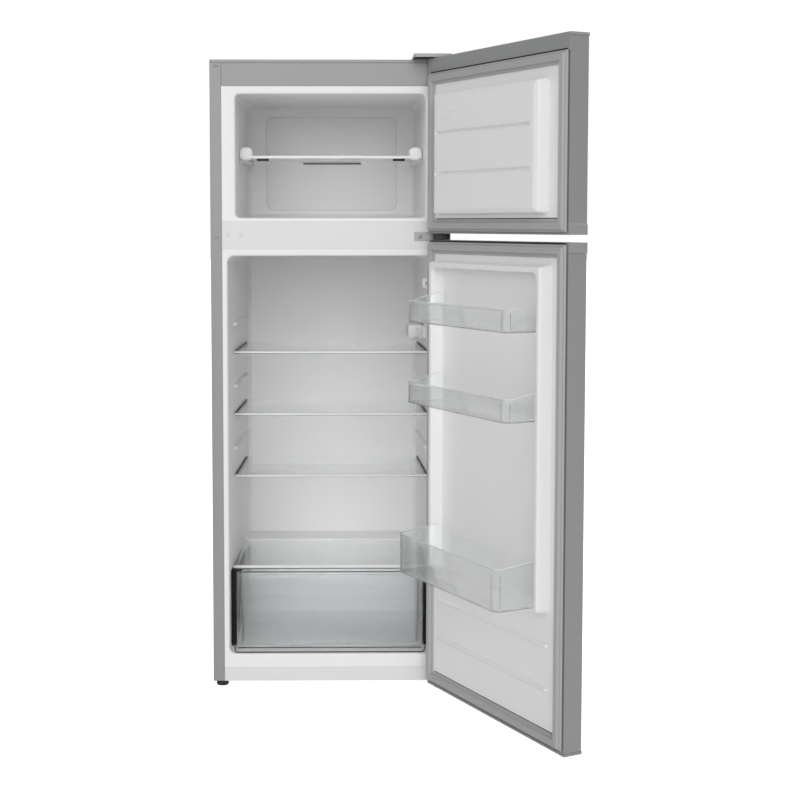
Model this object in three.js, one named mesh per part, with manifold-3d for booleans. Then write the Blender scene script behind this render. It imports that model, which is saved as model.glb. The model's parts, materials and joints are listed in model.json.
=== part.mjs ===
// Top freezer refrigerator with both doors standing open.
// Millimetres, +Z up. While it is built, X runs to the right, Y to the back, y = 0 is the front of the
// cabinet and z = 0 is the floor; the finished group is centred over its own footprint.
import * as THREE from 'three';
import { mergeVertices } from 'three/addons/utils/BufferGeometryUtils.js';
import Module from 'manifold-3d';

// ---------------------------------------------------------------- driving dimensions
// cabinet
const CABINET_WIDTH = 545;
const CABINET_HEIGHT = 1440;
const CABINET_DEPTH = 495;
const UNDERSIDE = 14; // height of the cabinet's underside over the floor
const FIT = 0.3; // clearance between neighbouring pieces
const SHEET = 1; // steel skins
const FLANGE = 26; // folded front flange of a side panel
const BACK_RETURN = 17; // folded rear flange of a side panel
const TOP_COVER_THICK = 7;
const FASCIA_HEIGHT = 52;
const FOAM_BACK_GAP = 2.3; // back of the foam to the back of the cabinet

// freezer and fridge compartments
const LINER = 2;
const FREEZER_HEIGHT = 278;
const FREEZER_SIDE_WALL = 57.5; // side of the cabinet to the freezer opening
const FREEZER_BACK_WALL = 95;
const FREEZER_DRAFT = 2.5;
const FREEZER_CORNER = 10;
const MULLION_HEIGHT = 62;
const PLUG_FROM_SIDE = [40, 69]; // plugs in the unused hinge holes, in from the left side
const PLUG_RADIUS = 4.6;
const PLUG_HEAD = 2;
const PLUG_SHANK = 3;
const PLUG_CLEARANCE = 0.15;
const FREEZER_LIP = 9; // mullion bar to the freezer opening
const FRIDGE_LIP = 16; // mullion bar to the fridge opening
const FREEZER_TOP_LIP = 18; // freezer opening to the fascia
const FRIDGE_FLOOR = 78;
const FRIDGE_SIDE_WALL = 38.5;
const FRIDGE_BACK_WALL = 39;
const FRIDGE_DRAFT = 16;
const FRIDGE_CORNER = 15;
const BAY_DEPTH = 112; // compressor bay, to the back of the cabinet
const STEP_TOP = 271; // top of the step over the compressor bay
const BAY_WALL = 22; // foam between the step and the bay
const BAY_ROOF = 40;
const CROSSBAR_TOP = 46;
const CROSSBAR_DEPTH = 20;
const FOOT_PLATE_DEPTH = 62; // plate behind the crossbar that the feet screw into
const BOTTOM_PANEL_RISE = 14; // over the cabinet's underside

// shelves
const GLASS = 4;
const SHELF_FRONT = 107;
const SHELF_BACK_GAP = 56; // shelf to the back of the fridge
const RAIL_PITCHES = 9.9; // rail spacings between the step and the fridge's ceiling
const LOWEST_SHELF_PITCHES = 2.8; // rail spacings from the step to the lowest shelf
const RAIL_COUNT = 6;
const RAIL_HEIGHT = 9;
const RAIL_REACH = 9;
const SHELF_TRIM_HEIGHT = 6.9;
const SHELF_TRIM_OVER = 1.3; // trim over the glass
const SHELF_TRIM_DEPTH = 9;
const SHELF_TRIM_NOSE = 3; // trim in front of the glass
const FREEZER_SHELF_SHARE = 0.515; // height of the freezer shelf, as a share of the freezer's
const FREEZER_SHELF_FRONT = 100;
const CRISPER_COVER_FRONT = 60;
const SIDE_GAP = 1.5; // glass to the compartment wall

// crisper drawer
const DRAWER_FRONT = 30;
const DRAWER_LEFT_GAP = 13;
const DRAWER_RIGHT_GAP = 19.5; // room for the gasket of the open door
const DRAWER_FACE = 6;
const DRAWER_CORNER = 10;
const DRAWER_BACK_GAP = 9;
const DRAWER_WALL = 2.5;
const DRAWER_LIFT = 2; // drawer over the compartment floor
const DRAWER_TOP_GAP = 3;

// doors, modelled shut and then turned open
const DOOR_THICK = 44;
const DOOR_STANDOFF = 14; // inner trim of a door to the front of the cabinet
const HINGE_INSET = 22.5; // hinge axis in from the side of the cabinet
const HINGE_SHARE = 21 / 44; // hinge axis in front of a door's inner trim, as a share of its thickness
const OPEN_ANGLE = 116.5;
const DOOR_GAP = 15; // between the two doors
const FREEZER_DOOR_OVERLAP = 26; // freezer door's bottom under the mullion's top
const FRIDGE_DOOR_BOTTOM = 16;
const DOOR_TOP_DROP = 1; // freezer door top under the cabinet top
const TALL_CAP = 21;
const LOW_CAP = 6;
const CAP_PROUD = 1;
const TRIM_RETURN = 14;
const DOOR_CORNER = 4;
const DOOR_LINER = 1.5;
const GASKET_WIDTH = 26;
const GASKET_BASE = 5;
const BULB_WIDTH = 14;
const BULB_INSET = 5;
const SEAL_GAP = 1.7; // bulb to the cabinet, shut
const GASKET_HINGE_SIDE = 9.5; // gasket's outer edge in from the side of the door
const GASKET_HANDLE_SIDE = 4.5;
const GASKET_END = 5; // gasket's outer edge in from a tall cap's end
const FREEZER_GASKET_DROP = 34;
const FRIDGE_GASKET_RISE = 11;
const GRIP_LENGTH = 120;
const GRIP_DEPTH = 24;
const GRIP_HEIGHT = 14;
const GRIP_FROM_SIDE = 22;

// raised inner faces of the doors
const RELIEF = 28;
const PLUG_SIDE = 9; // side clearance of the freezer plug in the freezer opening
const PLUG_END = 6;
const GROOVE_HEIGHT = 5;
const GROOVE_DEPTH = 4;
const BORDER_SIDE = 12; // fridge door borders in from the fridge opening
const BORDER_WIDTH = 18;
const BORDER_BOTTOM = 293;
const BORDER_TOP_GAP = 7;
const LOW_RIB_LEVELS = [222, 133];
const LOW_RIB_HEIGHT = 8;
const LOW_RIB_REACH = 5;

// door bins: where the floor is, over the floor or under the fridge's ceiling; heights over that floor of
// the front, the ends and the back; and how far they reach in from the door's inner trim
const BIN_WALL = 2.5;
const BIN_CORNER = 18;
const BIN_SIDE_GAP = 0.6;
const BINS = {
  top_bin: { under: 141, front: 47, end: 63, back: 28, reach: 97 },
  middle_bin: { under: 319, front: 48, end: 62, back: 28, reach: 97 },
  bottle_bin: { over: 304, front: 87, end: 97, back: 84, reach: 117 },
};

// hinges and feet
const PIN_RADIUS = 4;
const PIN_CLEARANCE = 0.5;
const HINGE_PLATE = 3;
const HINGE_ARM_WIDTH = 28;
const FOOT_RADIUS = 14;
const FOOT_FROM_SIDE = 19.5;
const FOOT_BACK = 22;
const FOOT_PAD = 9.5;
const STUD_RADIUS = 5;
const ROLLER_RADIUS = 12;
const ROLLER_WIDTH = 16;
const ROLLER_FROM_SIDE = 34;
const ROLLER_FROM_BACK = 25;
const AXLE_RADIUS = 3;

// machinery behind the step
const BASE_PLATE = 2;
const BASE_PLATE_LEVEL = 26;
const COMPRESSOR_RADIUS = 58;
const COMPRESSOR_STRETCH = 1.28;
const COMPRESSOR_HEADROOM = 41; // for the drip tray and the air over it
const COMPRESSOR_X = 60;
const COMPRESSOR_FOOT_GAP = 12; // room for the rubber mounts
const TRAY_HALF = 75;
const TRAY_HEIGHT = 26;
const CONDENSER_TUBE = 2.5;
const CONDENSER_STANDOFF = 7;
const CONDENSER_SIDE_GAP = 67.5;
const CONDENSER_RISE = 59; // over the compressor bay
const CONDENSER_TOP_GAP = 120; // at least, under the cabinet's top
const CONDENSER_PITCH = 78;
const CONDENSER_WIRES = 7;
const PIPE_RADIUS = 3;

// thermostat and door switch
const HOUSING_REACH = 38;
const HOUSING_FRONT = 170;
const HOUSING_LENGTH = 120;
const HOUSING_GAP = 2; // housing to the rail over it
const HOUSING_HEIGHT = 32;
const KNOB_RADIUS = 13;
const KNOB_LENGTH = 9;
const SWITCH_DROP = 63; // switch under the fridge's ceiling
const SWITCH_SIZE = 20;
const PLUNGER_RADIUS = 4;
const PLUNGER_OUT = 10;

// ---------------------------------------------------------------- derived places
const SIDE = CABINET_WIDTH / 2;
const INNER_SIDE = SIDE - FLANGE - FIT;
const TOP_COVER_BOTTOM = CABINET_HEIGHT - TOP_COVER_THICK;
const FASCIA_BOTTOM = TOP_COVER_BOTTOM - FASCIA_HEIGHT;
const FREEZER_TOP = FASCIA_BOTTOM - FREEZER_TOP_LIP;
const FREEZER_FLOOR = FREEZER_TOP - FREEZER_HEIGHT;
const FREEZER_HALF = SIDE - FREEZER_SIDE_WALL;
const FREEZER_DEPTH = CABINET_DEPTH - FREEZER_BACK_WALL;
const FREEZER_SHELF_TOP = FREEZER_FLOOR + FREEZER_SHELF_SHARE * FREEZER_HEIGHT;
const MULLION_TOP = FREEZER_FLOOR - FREEZER_LIP;
const MULLION_BOTTOM = MULLION_TOP - MULLION_HEIGHT;
const FRIDGE_TOP = MULLION_BOTTOM - FRIDGE_LIP;
const FRIDGE_HALF = SIDE - FRIDGE_SIDE_WALL;
const FRIDGE_DEPTH = CABINET_DEPTH - FRIDGE_BACK_WALL;
const FOAM_BACK = CABINET_DEPTH - FOAM_BACK_GAP;
const BOTTOM_LEVEL = UNDERSIDE + BOTTOM_PANEL_RISE;
const BOTTOM_FRONT = FOOT_PLATE_DEPTH + 2;
const BAY_FRONT = CABINET_DEPTH - BAY_DEPTH;
const BAY_TOP = STEP_TOP - BAY_ROOF;
const STEP_FRONT = BAY_FRONT - BAY_WALL;
const RAIL_PITCH = (FRIDGE_TOP - STEP_TOP) / RAIL_PITCHES;
const LOWEST_SHELF = STEP_TOP + LOWEST_SHELF_PITCHES * RAIL_PITCH;
const LOWEST_RAIL = LOWEST_SHELF - GLASS - FIT;
const SHELF_TOPS = [4, 2, 0].map((rails) => LOWEST_SHELF + rails * RAIL_PITCH);
const SHELF_BACK = FRIDGE_DEPTH - SHELF_BACK_GAP;
const DRAWER_LEFT = -FRIDGE_HALF + DRAWER_LEFT_GAP;
const DRAWER_RIGHT = FRIDGE_HALF - DRAWER_RIGHT_GAP;
const HINGE_X = SIDE - HINGE_INSET;
const HINGE_Y = -(DOOR_STANDOFF + HINGE_SHARE * DOOR_THICK);
const TRIM_Y = -DOOR_STANDOFF;
const FACE_Y = TRIM_Y - DOOR_THICK;
const FREEZER_DOOR_TOP = CABINET_HEIGHT - DOOR_TOP_DROP;
const FREEZER_DOOR_BOTTOM = MULLION_TOP - FREEZER_DOOR_OVERLAP;
const FRIDGE_DOOR_TOP = FREEZER_DOOR_BOTTOM - DOOR_GAP;
const LINER_FACE = TRIM_Y + FIT + DOOR_LINER;
const GASKET_LEFT = -SIDE + GASKET_HANDLE_SIDE;
const GASKET_RIGHT = SIDE - GASKET_HINGE_SIDE;

// ---------------------------------------------------------------- solids
const wasm = await Module();
wasm.setup();

/** A closed geometry as a manifold solid, its shared corners merged. */
function solid(geometry) {
  const bare = geometry.clone();
  bare.deleteAttribute('normal');
  bare.deleteAttribute('uv');
  const merged = mergeVertices(bare, 1e-4);
  const vertProperties = new Float32Array(merged.attributes.position.array);
  const triVerts = new Uint32Array(merged.index.array);
  return new wasm.Manifold(new wasm.Mesh({ numProp: 3, vertProperties, triVerts }));
}

/** The geometry of a manifold solid, with flat normals. */
function shell(body) {
  const mesh = body.getMesh();
  const geometry = new THREE.BufferGeometry();
  geometry.setAttribute('position', new THREE.BufferAttribute(new Float32Array(mesh.vertProperties), 3));
  geometry.setIndex(new THREE.BufferAttribute(new Uint32Array(mesh.triVerts), 1));
  const flat = geometry.toNonIndexed();
  flat.computeVertexNormals();
  return flat;
}

/** The first geometry joined with all the others. */
function join(first, ...others) {
  return shell(others.reduce((body, other) => body.add(solid(other)), solid(first)));
}

/** The first geometry with all the others taken out of it. */
function cut(first, ...others) {
  return shell(others.reduce((body, other) => body.subtract(solid(other)), solid(first)));
}

/** A box between two opposite corners. */
function block([x0, y0, z0], [x1, y1, z1]) {
  const box = new THREE.BoxGeometry(x1 - x0, y1 - y0, z1 - z0);
  return box.translate((x0 + x1) / 2, (y0 + y1) / 2, (z0 + z1) / 2);
}

/** An outline from corner points; a third number rounds that corner. */
function outline(points) {
  const corners = points.map(([x, y, radius = 0]) => ({ at: new THREE.Vector2(x, y), radius }));
  const shape = new THREE.Shape();
  corners.forEach(({ at, radius }, i) => {
    const before = corners[(i + corners.length - 1) % corners.length].at;
    const after = corners[(i + 1) % corners.length].at;
    const start = at.clone().add(before.clone().sub(at).setLength(radius));
    const end = at.clone().add(after.clone().sub(at).setLength(radius));
    if (i === 0) shape.moveTo(start.x, start.y);
    else shape.lineTo(start.x, start.y);
    if (radius > 0) shape.quadraticCurveTo(at.x, at.y, end.x, end.y);
  });
  return shape;
}

/** A rectangle with all four corners rounded alike. */
function rectangle(x0, x1, y0, y1, radius = 0) {
  return outline([[x0, y0, radius], [x1, y0, radius], [x1, y1, radius], [x0, y1, radius]]);
}

/** An outline in X and Y, raised from one height to another. */
function prismZ(shape, z0, z1) {
  const options = { depth: z1 - z0, bevelEnabled: false, curveSegments: 5 };
  return new THREE.ExtrudeGeometry(shape, options).translate(0, 0, z0);
}

/** An outline in X and Z, drawn out along Y. */
function prismY(shape, y0, y1) {
  const options = { depth: y1 - y0, bevelEnabled: false, curveSegments: 5 };
  return new THREE.ExtrudeGeometry(shape, options).rotateX(Math.PI / 2).translate(0, y1, 0);
}

/** An outline in Y and Z, drawn out along X. */
function prismX(shape, x0, x1) {
  const options = { depth: x1 - x0, bevelEnabled: false, curveSegments: 5 };
  const upright = new THREE.Matrix4().makeBasis(
    new THREE.Vector3(0, 1, 0),
    new THREE.Vector3(0, 0, 1),
    new THREE.Vector3(1, 0, 0),
  );
  return new THREE.ExtrudeGeometry(shape, options).applyMatrix4(upright).translate(x0, 0, 0);
}

/** A closed ring or a solid of revolution about a vertical axis, from its (radius, height) profile. */
function turned(profile, segments = 20) {
  const points = profile.map(([r, z]) => new THREE.Vector2(r, z));
  return new THREE.LatheGeometry(points, segments).rotateX(Math.PI / 2);
}

/** A round pin along Z. */
function pin(radius, z0, z1, segments = 16) {
  const cylinder = new THREE.CylinderGeometry(radius, radius, z1 - z0, segments);
  return cylinder.rotateX(Math.PI / 2).translate(0, 0, (z0 + z1) / 2);
}

/** A round tube body along a curve. */
function rod(path, radius, steps, sides = 8) {
  const section = new THREE.Shape();
  for (let i = 0; i < sides; i += 1) {
    const angle = (2 * Math.PI * i) / sides;
    const [x, y] = [radius * Math.cos(angle), radius * Math.sin(angle)];
    if (i === 0) section.moveTo(x, y);
    else section.lineTo(x, y);
  }
  return new THREE.ExtrudeGeometry(section, { steps, extrudePath: path, bevelEnabled: false });
}

/**
 * A compartment's hollow, grown by `grow` on every side but the front: a rounded opening at y0 that
 * narrows towards the back by `draft` on each side.
 */
function hollow({ half, floor, top, depth, draft, corner }, grow, y0) {
  const mouth = rectangle(-half - grow, half + grow, floor - grow, top + grow, corner + grow);
  const body = prismY(mouth, y0, depth + grow);
  const position = body.attributes.position;
  const middle = (floor + top) / 2;
  const narrow = (half + grow - draft) / (half + grow);
  const lower = (top - middle + grow - draft / 2) / (top - middle + grow);
  for (let i = 0; i < position.count; i += 1) {
    if (position.getY(i) > depth / 2) {
      position.setX(i, position.getX(i) * narrow);
      position.setZ(i, middle + (position.getZ(i) - middle) * lower);
    }
  }
  return body;
}

/** Half the width of a compartment at a given depth. */
function halfAt({ half, draft, depth }, y) {
  return half - (draft * y) / depth;
}

/** Height of a compartment's floor at a given depth. */
function floorAt({ floor, draft, depth }, y) {
  return floor + (draft * y) / (2 * depth);
}

// ---------------------------------------------------------------- materials
/** A named standard material. */
function finish(color, roughness, metalness = 0, opacity = 1) {
  return { color, roughness, metalness, opacity, transparent: opacity < 1 };
}

const SILVER = finish(0xa6a7a8, 0.42, 0.55);
const WHITE = finish(0xdedfdf, 0.45);
const GREY_PLASTIC = finish(0x9fa1a3, 0.5);
const GASKET_GREY = finish(0x9a9d9e, 0.7);
const BLACK = finish(0x1b1c1d, 0.6);
const FOAM = finish(0xd9cfa8, 0.9);
const CLEAR = finish(0xdfe6ec, 0.08, 0, 0.35);
const STEEL = finish(0xb4b6b8, 0.35, 0.9);
const COPPER = finish(0xb5714a, 0.35, 0.9);

const refrigerator = new THREE.Group();

/** Puts one named piece, with a material of its own, into a group. */
function piece(name, geometry, look, parent = refrigerator) {
  const mesh = new THREE.Mesh(geometry, new THREE.MeshStandardMaterial(look));
  mesh.name = name;
  parent.add(mesh);
  return mesh;
}

// ---------------------------------------------------------------- cabinet
const FREEZER = {
  half: FREEZER_HALF,
  floor: FREEZER_FLOOR,
  top: FREEZER_TOP,
  depth: FREEZER_DEPTH,
  draft: FREEZER_DRAFT,
  corner: FREEZER_CORNER,
};
const FRIDGE = {
  half: FRIDGE_HALF,
  floor: FRIDGE_FLOOR,
  top: FRIDGE_TOP,
  depth: FRIDGE_DEPTH,
  draft: FRIDGE_DRAFT,
  corner: FRIDGE_CORNER,
};

const plugPlaces = PLUG_FROM_SIDE.map((inset) => -SIDE + inset);
const plugLevel = (MULLION_TOP + MULLION_BOTTOM) / 2 + 1.5;

/** The room that the step over the compressor takes from the fridge, shrunk by a wall. */
function stepRoom(wall) {
  return block([-SIDE, STEP_FRONT + wall, -FIT], [SIDE, CABINET_DEPTH, STEP_TOP - wall]);
}

/** A steel side panel with its folded front and rear flanges; side is -1 left, 1 right. */
function sidePanel(side) {
  const profile = [
    [SIDE, 0, 2],
    [SIDE, CABINET_DEPTH, 2],
    [SIDE - BACK_RETURN, CABINET_DEPTH],
    [SIDE - BACK_RETURN, CABINET_DEPTH - SHEET],
    [SIDE - SHEET, CABINET_DEPTH - SHEET],
    [SIDE - SHEET, SHEET],
    [SIDE - FLANGE, SHEET],
    [SIDE - FLANGE, 0],
  ];
  return prismZ(outline(profile.map(([x, y, r]) => [side * x, y, r])), UNDERSIDE, TOP_COVER_BOTTOM - FIT);
}

/** The shallow tray that closes the top of the cabinet. */
function topCover() {
  const rim = 3;
  const cover = prismZ(rectangle(-SIDE, SIDE, 0, CABINET_DEPTH, 4), TOP_COVER_BOTTOM, CABINET_HEIGHT);
  const low = [-SIDE + rim, rim, TOP_COVER_BOTTOM - FIT];
  const high = [SIDE - rim, CABINET_DEPTH - rim, CABINET_HEIGHT - rim];
  return cut(cover, block(low, high));
}

/** Sheet that closes the cabinet underneath and folds up and back over the compressor bay. */
function bottomPanel() {
  const profile = [
    [BOTTOM_FRONT, BOTTOM_LEVEL],
    [BAY_FRONT, BOTTOM_LEVEL],
    [BAY_FRONT, BAY_TOP - SHEET],
    [FOAM_BACK, BAY_TOP - SHEET],
    [FOAM_BACK, BAY_TOP],
    [BAY_FRONT - SHEET, BAY_TOP],
    [BAY_FRONT - SHEET, BOTTOM_LEVEL + SHEET],
    [BOTTOM_FRONT, BOTTOM_LEVEL + SHEET],
  ];
  return prismX(outline(profile), -SIDE + SHEET + FIT, SIDE - SHEET - FIT);
}

/** Insulating foam that fills the cabinet around both liners. */
function cabinetFoam() {
  const inset = SHEET + FIT;
  const under = BOTTOM_LEVEL + SHEET + FIT;
  const low = [-SIDE + inset, LINER + 2 * FIT, under];
  const high = [SIDE - inset, FOAM_BACK, TOP_COVER_BOTTOM - FIT];
  const fridgeRoom = shell(solid(hollow(FRIDGE, LINER + FIT, -FIT)).subtract(solid(stepRoom(LINER + FIT))));
  return cut(
    block(low, high),
    hollow(FREEZER, LINER + FIT, -FIT),
    fridgeRoom,
    block([-SIDE, BAY_FRONT - SHEET - FIT, 0], [SIDE, CABINET_DEPTH, BAY_TOP + FIT]),
    block([-SIDE, -FIT, 0], [SIDE, BOTTOM_FRONT, CROSSBAR_TOP + FIT]),
  );
}

/** Front flange of a liner, between two heights. */
function linerFlange(z0, z1) {
  return block([-INNER_SIDE, 0, z0], [INNER_SIDE, LINER, z1]);
}

/** Two shelf rails at one level, standing on the side walls of a compartment. */
function rails(room, level, front, back) {
  return [-1, 1].map((side) => {
    const wall = (y) => side * (halfAt(room, y) + LINER / 2);
    const edge = (y) => side * (halfAt(room, y) - RAIL_REACH);
    const corners = [[wall(front), front], [edge(front), front, 4], [edge(back), back, 4], [wall(back), back]];
    const plan = outline(corners);
    return prismZ(plan, level - RAIL_HEIGHT, level);
  });
}

/** White freezer liner with the rails of its shelf. */
function freezerLiner() {
  const level = FREEZER_SHELF_TOP - GLASS - FIT;
  const cup = cut(
    join(hollow(FREEZER, LINER, 0), linerFlange(MULLION_TOP + FIT, FASCIA_BOTTOM - FIT)),
    hollow(FREEZER, 0, -FIT),
  );
  return join(cup, ...rails(FREEZER, level, FREEZER_SHELF_FRONT + SHELF_TRIM_DEPTH, FREEZER_DEPTH - 4));
}

/** White fridge liner with the step over the compressor and six levels of shelf rails. */
function fridgeLiner() {
  const flange = linerFlange(CROSSBAR_TOP + FIT, MULLION_BOTTOM - FIT);
  const outer = solid(hollow(FRIDGE, LINER, 0)).subtract(solid(stepRoom(LINER))).add(solid(flange));
  const inner = solid(hollow(FRIDGE, 0, -FIT)).subtract(solid(stepRoom(0)));
  const levels = Array.from({ length: RAIL_COUNT }, (_, i) => LOWEST_RAIL + i * RAIL_PITCH);
  const front = SHELF_FRONT + SHELF_TRIM_DEPTH + 2;
  const ledges = levels.flatMap((level) => rails(FRIDGE, level, front, SHELF_BACK));
  const coverLedges = rails(FRIDGE, STEP_TOP - GLASS - FIT, CRISPER_COVER_FRONT + 2, STEP_FRONT + LINER / 2);
  return join(shell(outer.subtract(inner)), ...ledges, ...coverLedges);
}

/** Front bar across the bottom, with the plate that the feet screw into. */
function crossbar() {
  const profile = [
    [0, UNDERSIDE],
    [0, CROSSBAR_TOP],
    [CROSSBAR_DEPTH, CROSSBAR_TOP],
    [CROSSBAR_DEPTH, CROSSBAR_TOP - LINER],
    [LINER, CROSSBAR_TOP - LINER],
    [LINER, UNDERSIDE],
  ];
  const inset = SHEET + FIT;
  const low = [-SIDE + inset, inset, UNDERSIDE];
  const footPlate = block(low, [SIDE - inset, FOOT_PLATE_DEPTH, UNDERSIDE + LINER]);
  return join(prismX(outline(profile), -INNER_SIDE, INNER_SIDE), footPlate);
}

/** Plug in the unused hinge holes of the mullion bar: a low head on a short shank, along Z. */
function mullionPlug() {
  const head = [[0, -FIT - PLUG_HEAD], [PLUG_RADIUS * 0.7, -FIT - PLUG_HEAD], [PLUG_RADIUS, -FIT - 1]];
  return turned([...head, [PLUG_RADIUS, -FIT], [PLUG_SHANK, -FIT], [PLUG_SHANK, LINER - FIT], [0, LINER - FIT]], 16);
}

/** Bar between the two compartments, with the holes for its plugs. */
function mullionBar() {
  const bar = block([-INNER_SIDE, 0, MULLION_BOTTOM], [INNER_SIDE, LINER, MULLION_TOP]);
  const holes = plugPlaces.map((x) => {
    const hole = pin(PLUG_SHANK + PLUG_CLEARANCE, -FIT, LINER + FIT).rotateX(-Math.PI / 2);
    return hole.translate(x, 0, plugLevel);
  });
  return cut(bar, ...holes);
}

piece('side_panel_left', sidePanel(-1), SILVER);
piece('side_panel_right', sidePanel(1), SILVER);
piece('top_cover', topCover(), SILVER);
const fasciaHigh = [INNER_SIDE, LINER, TOP_COVER_BOTTOM - FIT];
piece('top_fascia', block([-INNER_SIDE, 0, FASCIA_BOTTOM], fasciaHigh), SILVER);
const backHalf = SIDE - BACK_RETURN - FIT;
const backLow = [-backHalf, FOAM_BACK + FIT, BAY_TOP];
piece('back_panel', block(backLow, [backHalf, CABINET_DEPTH - SHEET, TOP_COVER_BOTTOM - FIT]), SILVER);
piece('bottom_panel', bottomPanel(), STEEL);
piece('cabinet_foam', cabinetFoam(), FOAM);
piece('freezer_liner', freezerLiner(), WHITE);
piece('fridge_liner', fridgeLiner(), WHITE);
piece('mullion_bar', mullionBar(), WHITE);
plugPlaces.forEach((x, i) => {
  const plug = piece(`mullion_plug_${i + 1}`, mullionPlug(), WHITE);
  plug.position.set(x, 0, plugLevel);
  plug.rotation.x = -Math.PI / 2;
});
piece('bottom_crossbar', crossbar(), WHITE);

// ---------------------------------------------------------------- shelves and drawer
/** A sheet of shelf glass, level with `top`, that follows the side walls of a compartment. */
function shelfGlass(room, top, front, back) {
  const near = halfAt(room, front) - SIDE_GAP;
  const far = halfAt(room, back) - SIDE_GAP;
  return prismZ(outline([[-near, front, 3], [near, front, 3], [far, back, 3], [-far, back, 3]]), top - GLASS, top);
}

/** The moulded strip over the front edge of a shelf, clear of the glass that lies in it. */
function shelfTrim(room, top, front) {
  const half = halfAt(room, front) - SIDE_GAP;
  const strip = prismX(
    outline([
      [front - SHELF_TRIM_NOSE, top + SHELF_TRIM_OVER, 1.5],
      [front - SHELF_TRIM_NOSE, top + SHELF_TRIM_OVER - SHELF_TRIM_HEIGHT, 1.5],
      [front + SHELF_TRIM_DEPTH, top + SHELF_TRIM_OVER - SHELF_TRIM_HEIGHT],
      [front + SHELF_TRIM_DEPTH, top + SHELF_TRIM_OVER],
    ]),
    -half,
    half,
  );
  const slot = block([-SIDE, front - FIT, top - GLASS - FIT], [SIDE, SHELF_BACK, top + FIT]);
  return cut(strip, slot);
}

SHELF_TOPS.forEach((top, i) => {
  piece(`fridge_shelf_glass_${i + 1}`, shelfGlass(FRIDGE, top, SHELF_FRONT, SHELF_BACK), CLEAR);
  piece(`fridge_shelf_trim_${i + 1}`, shelfTrim(FRIDGE, top, SHELF_FRONT), WHITE);
});
const freezerShelfBack = FREEZER_DEPTH - 6;
const freezerGlass = shelfGlass(FREEZER, FREEZER_SHELF_TOP, FREEZER_SHELF_FRONT, freezerShelfBack);
piece('freezer_shelf_glass', freezerGlass, CLEAR);
piece('crisper_cover', shelfGlass(FRIDGE, STEP_TOP, CRISPER_COVER_FRONT, STEP_FRONT - SIDE_GAP), CLEAR);

/** Clear drawer under the crisper cover, open on top. */
function crisperDrawer() {
  const back = STEP_FRONT - DRAWER_BACK_GAP;
  const floor = floorAt(FRIDGE, back) + DRAWER_LIFT;
  const top = STEP_TOP - GLASS - DRAWER_TOP_GAP;
  const [left, right] = [DRAWER_LEFT + RAIL_REACH, DRAWER_RIGHT - RAIL_REACH];
  const faceBack = DRAWER_FRONT + DRAWER_FACE;
  const tub = prismZ(rectangle(left, right, DRAWER_FRONT + 2, back, DRAWER_CORNER), floor, top - RAIL_HEIGHT);
  const facePlan = rectangle(DRAWER_LEFT, DRAWER_RIGHT, DRAWER_FRONT, faceBack, 2);
  const face = prismZ(facePlan, floor - DRAWER_LIFT, top);
  const inside = prismZ(
    rectangle(left + DRAWER_WALL, right - DRAWER_WALL, faceBack, back - DRAWER_WALL, DRAWER_CORNER - DRAWER_WALL),
    floor + DRAWER_WALL,
    top + FIT,
  );
  return cut(join(tub, face), inside);
}
piece('crisper_drawer', crisperDrawer(), CLEAR);

// ---------------------------------------------------------------- thermostat, lamp and door switch
const housingWall = halfAt(FRIDGE, HOUSING_FRONT + HOUSING_LENGTH) - SIDE_GAP;
const housingLeft = housingWall - HOUSING_REACH;
const housingBack = HOUSING_FRONT + HOUSING_LENGTH;
const housingTop = LOWEST_RAIL + (RAIL_COUNT - 1) * RAIL_PITCH - RAIL_HEIGHT - HOUSING_GAP;
const housingBottom = housingTop - HOUSING_HEIGHT;
const lensDepth = 3;
const lensFront = HOUSING_FRONT + 40;
const lensBack = housingBack - 12;
const lensRim = 4;

/** Box on the right wall that holds the thermostat and the lamp. */
function thermostatHousing() {
  const plan = outline([
    [housingLeft, HOUSING_FRONT, 8],
    [housingWall, HOUSING_FRONT],
    [housingWall, housingBack],
    [housingLeft, housingBack, 8],
  ]);
  const lensSeat = block(
    [housingLeft - FIT, lensFront, housingBottom + lensRim],
    [housingLeft + lensDepth, lensBack, housingTop - lensRim],
  );
  return cut(prismZ(plan, housingBottom, housingTop), lensSeat);
}
piece('thermostat_housing', thermostatHousing(), WHITE);
piece(
  'lamp_lens',
  block(
    [housingLeft, lensFront + FIT, housingBottom + lensRim + FIT],
    [housingLeft + lensDepth - FIT, lensBack - FIT, housingTop - lensRim - FIT],
  ),
  CLEAR,
);

/** Round knob with a raised grip bar, its axis along Y. */
function knob() {
  const disc = pin(KNOB_RADIUS, 0, KNOB_LENGTH - 4, 24);
  const bar = block([-3, -KNOB_RADIUS + 2, KNOB_LENGTH - 5], [3, KNOB_RADIUS - 2, KNOB_LENGTH]);
  return join(disc, bar);
}
const knobMesh = piece('thermostat_knob', knob(), GREY_PLASTIC);
knobMesh.position.set((housingLeft + housingWall) / 2, HOUSING_FRONT - FIT, (housingBottom + housingTop) / 2);
knobMesh.rotation.x = Math.PI / 2;

const switchWall = halfAt(FRIDGE, SWITCH_SIZE * 3) - SIDE_GAP;
const plungerX = switchWall - SWITCH_SIZE / 2;
const plungerTip = LINER_FACE + RELIEF + FIT;
const switchFront = plungerTip + PLUNGER_OUT;
const plungerLength = 2 * PLUNGER_OUT;
const switchLevel = FRIDGE_TOP - SWITCH_DROP;

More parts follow.
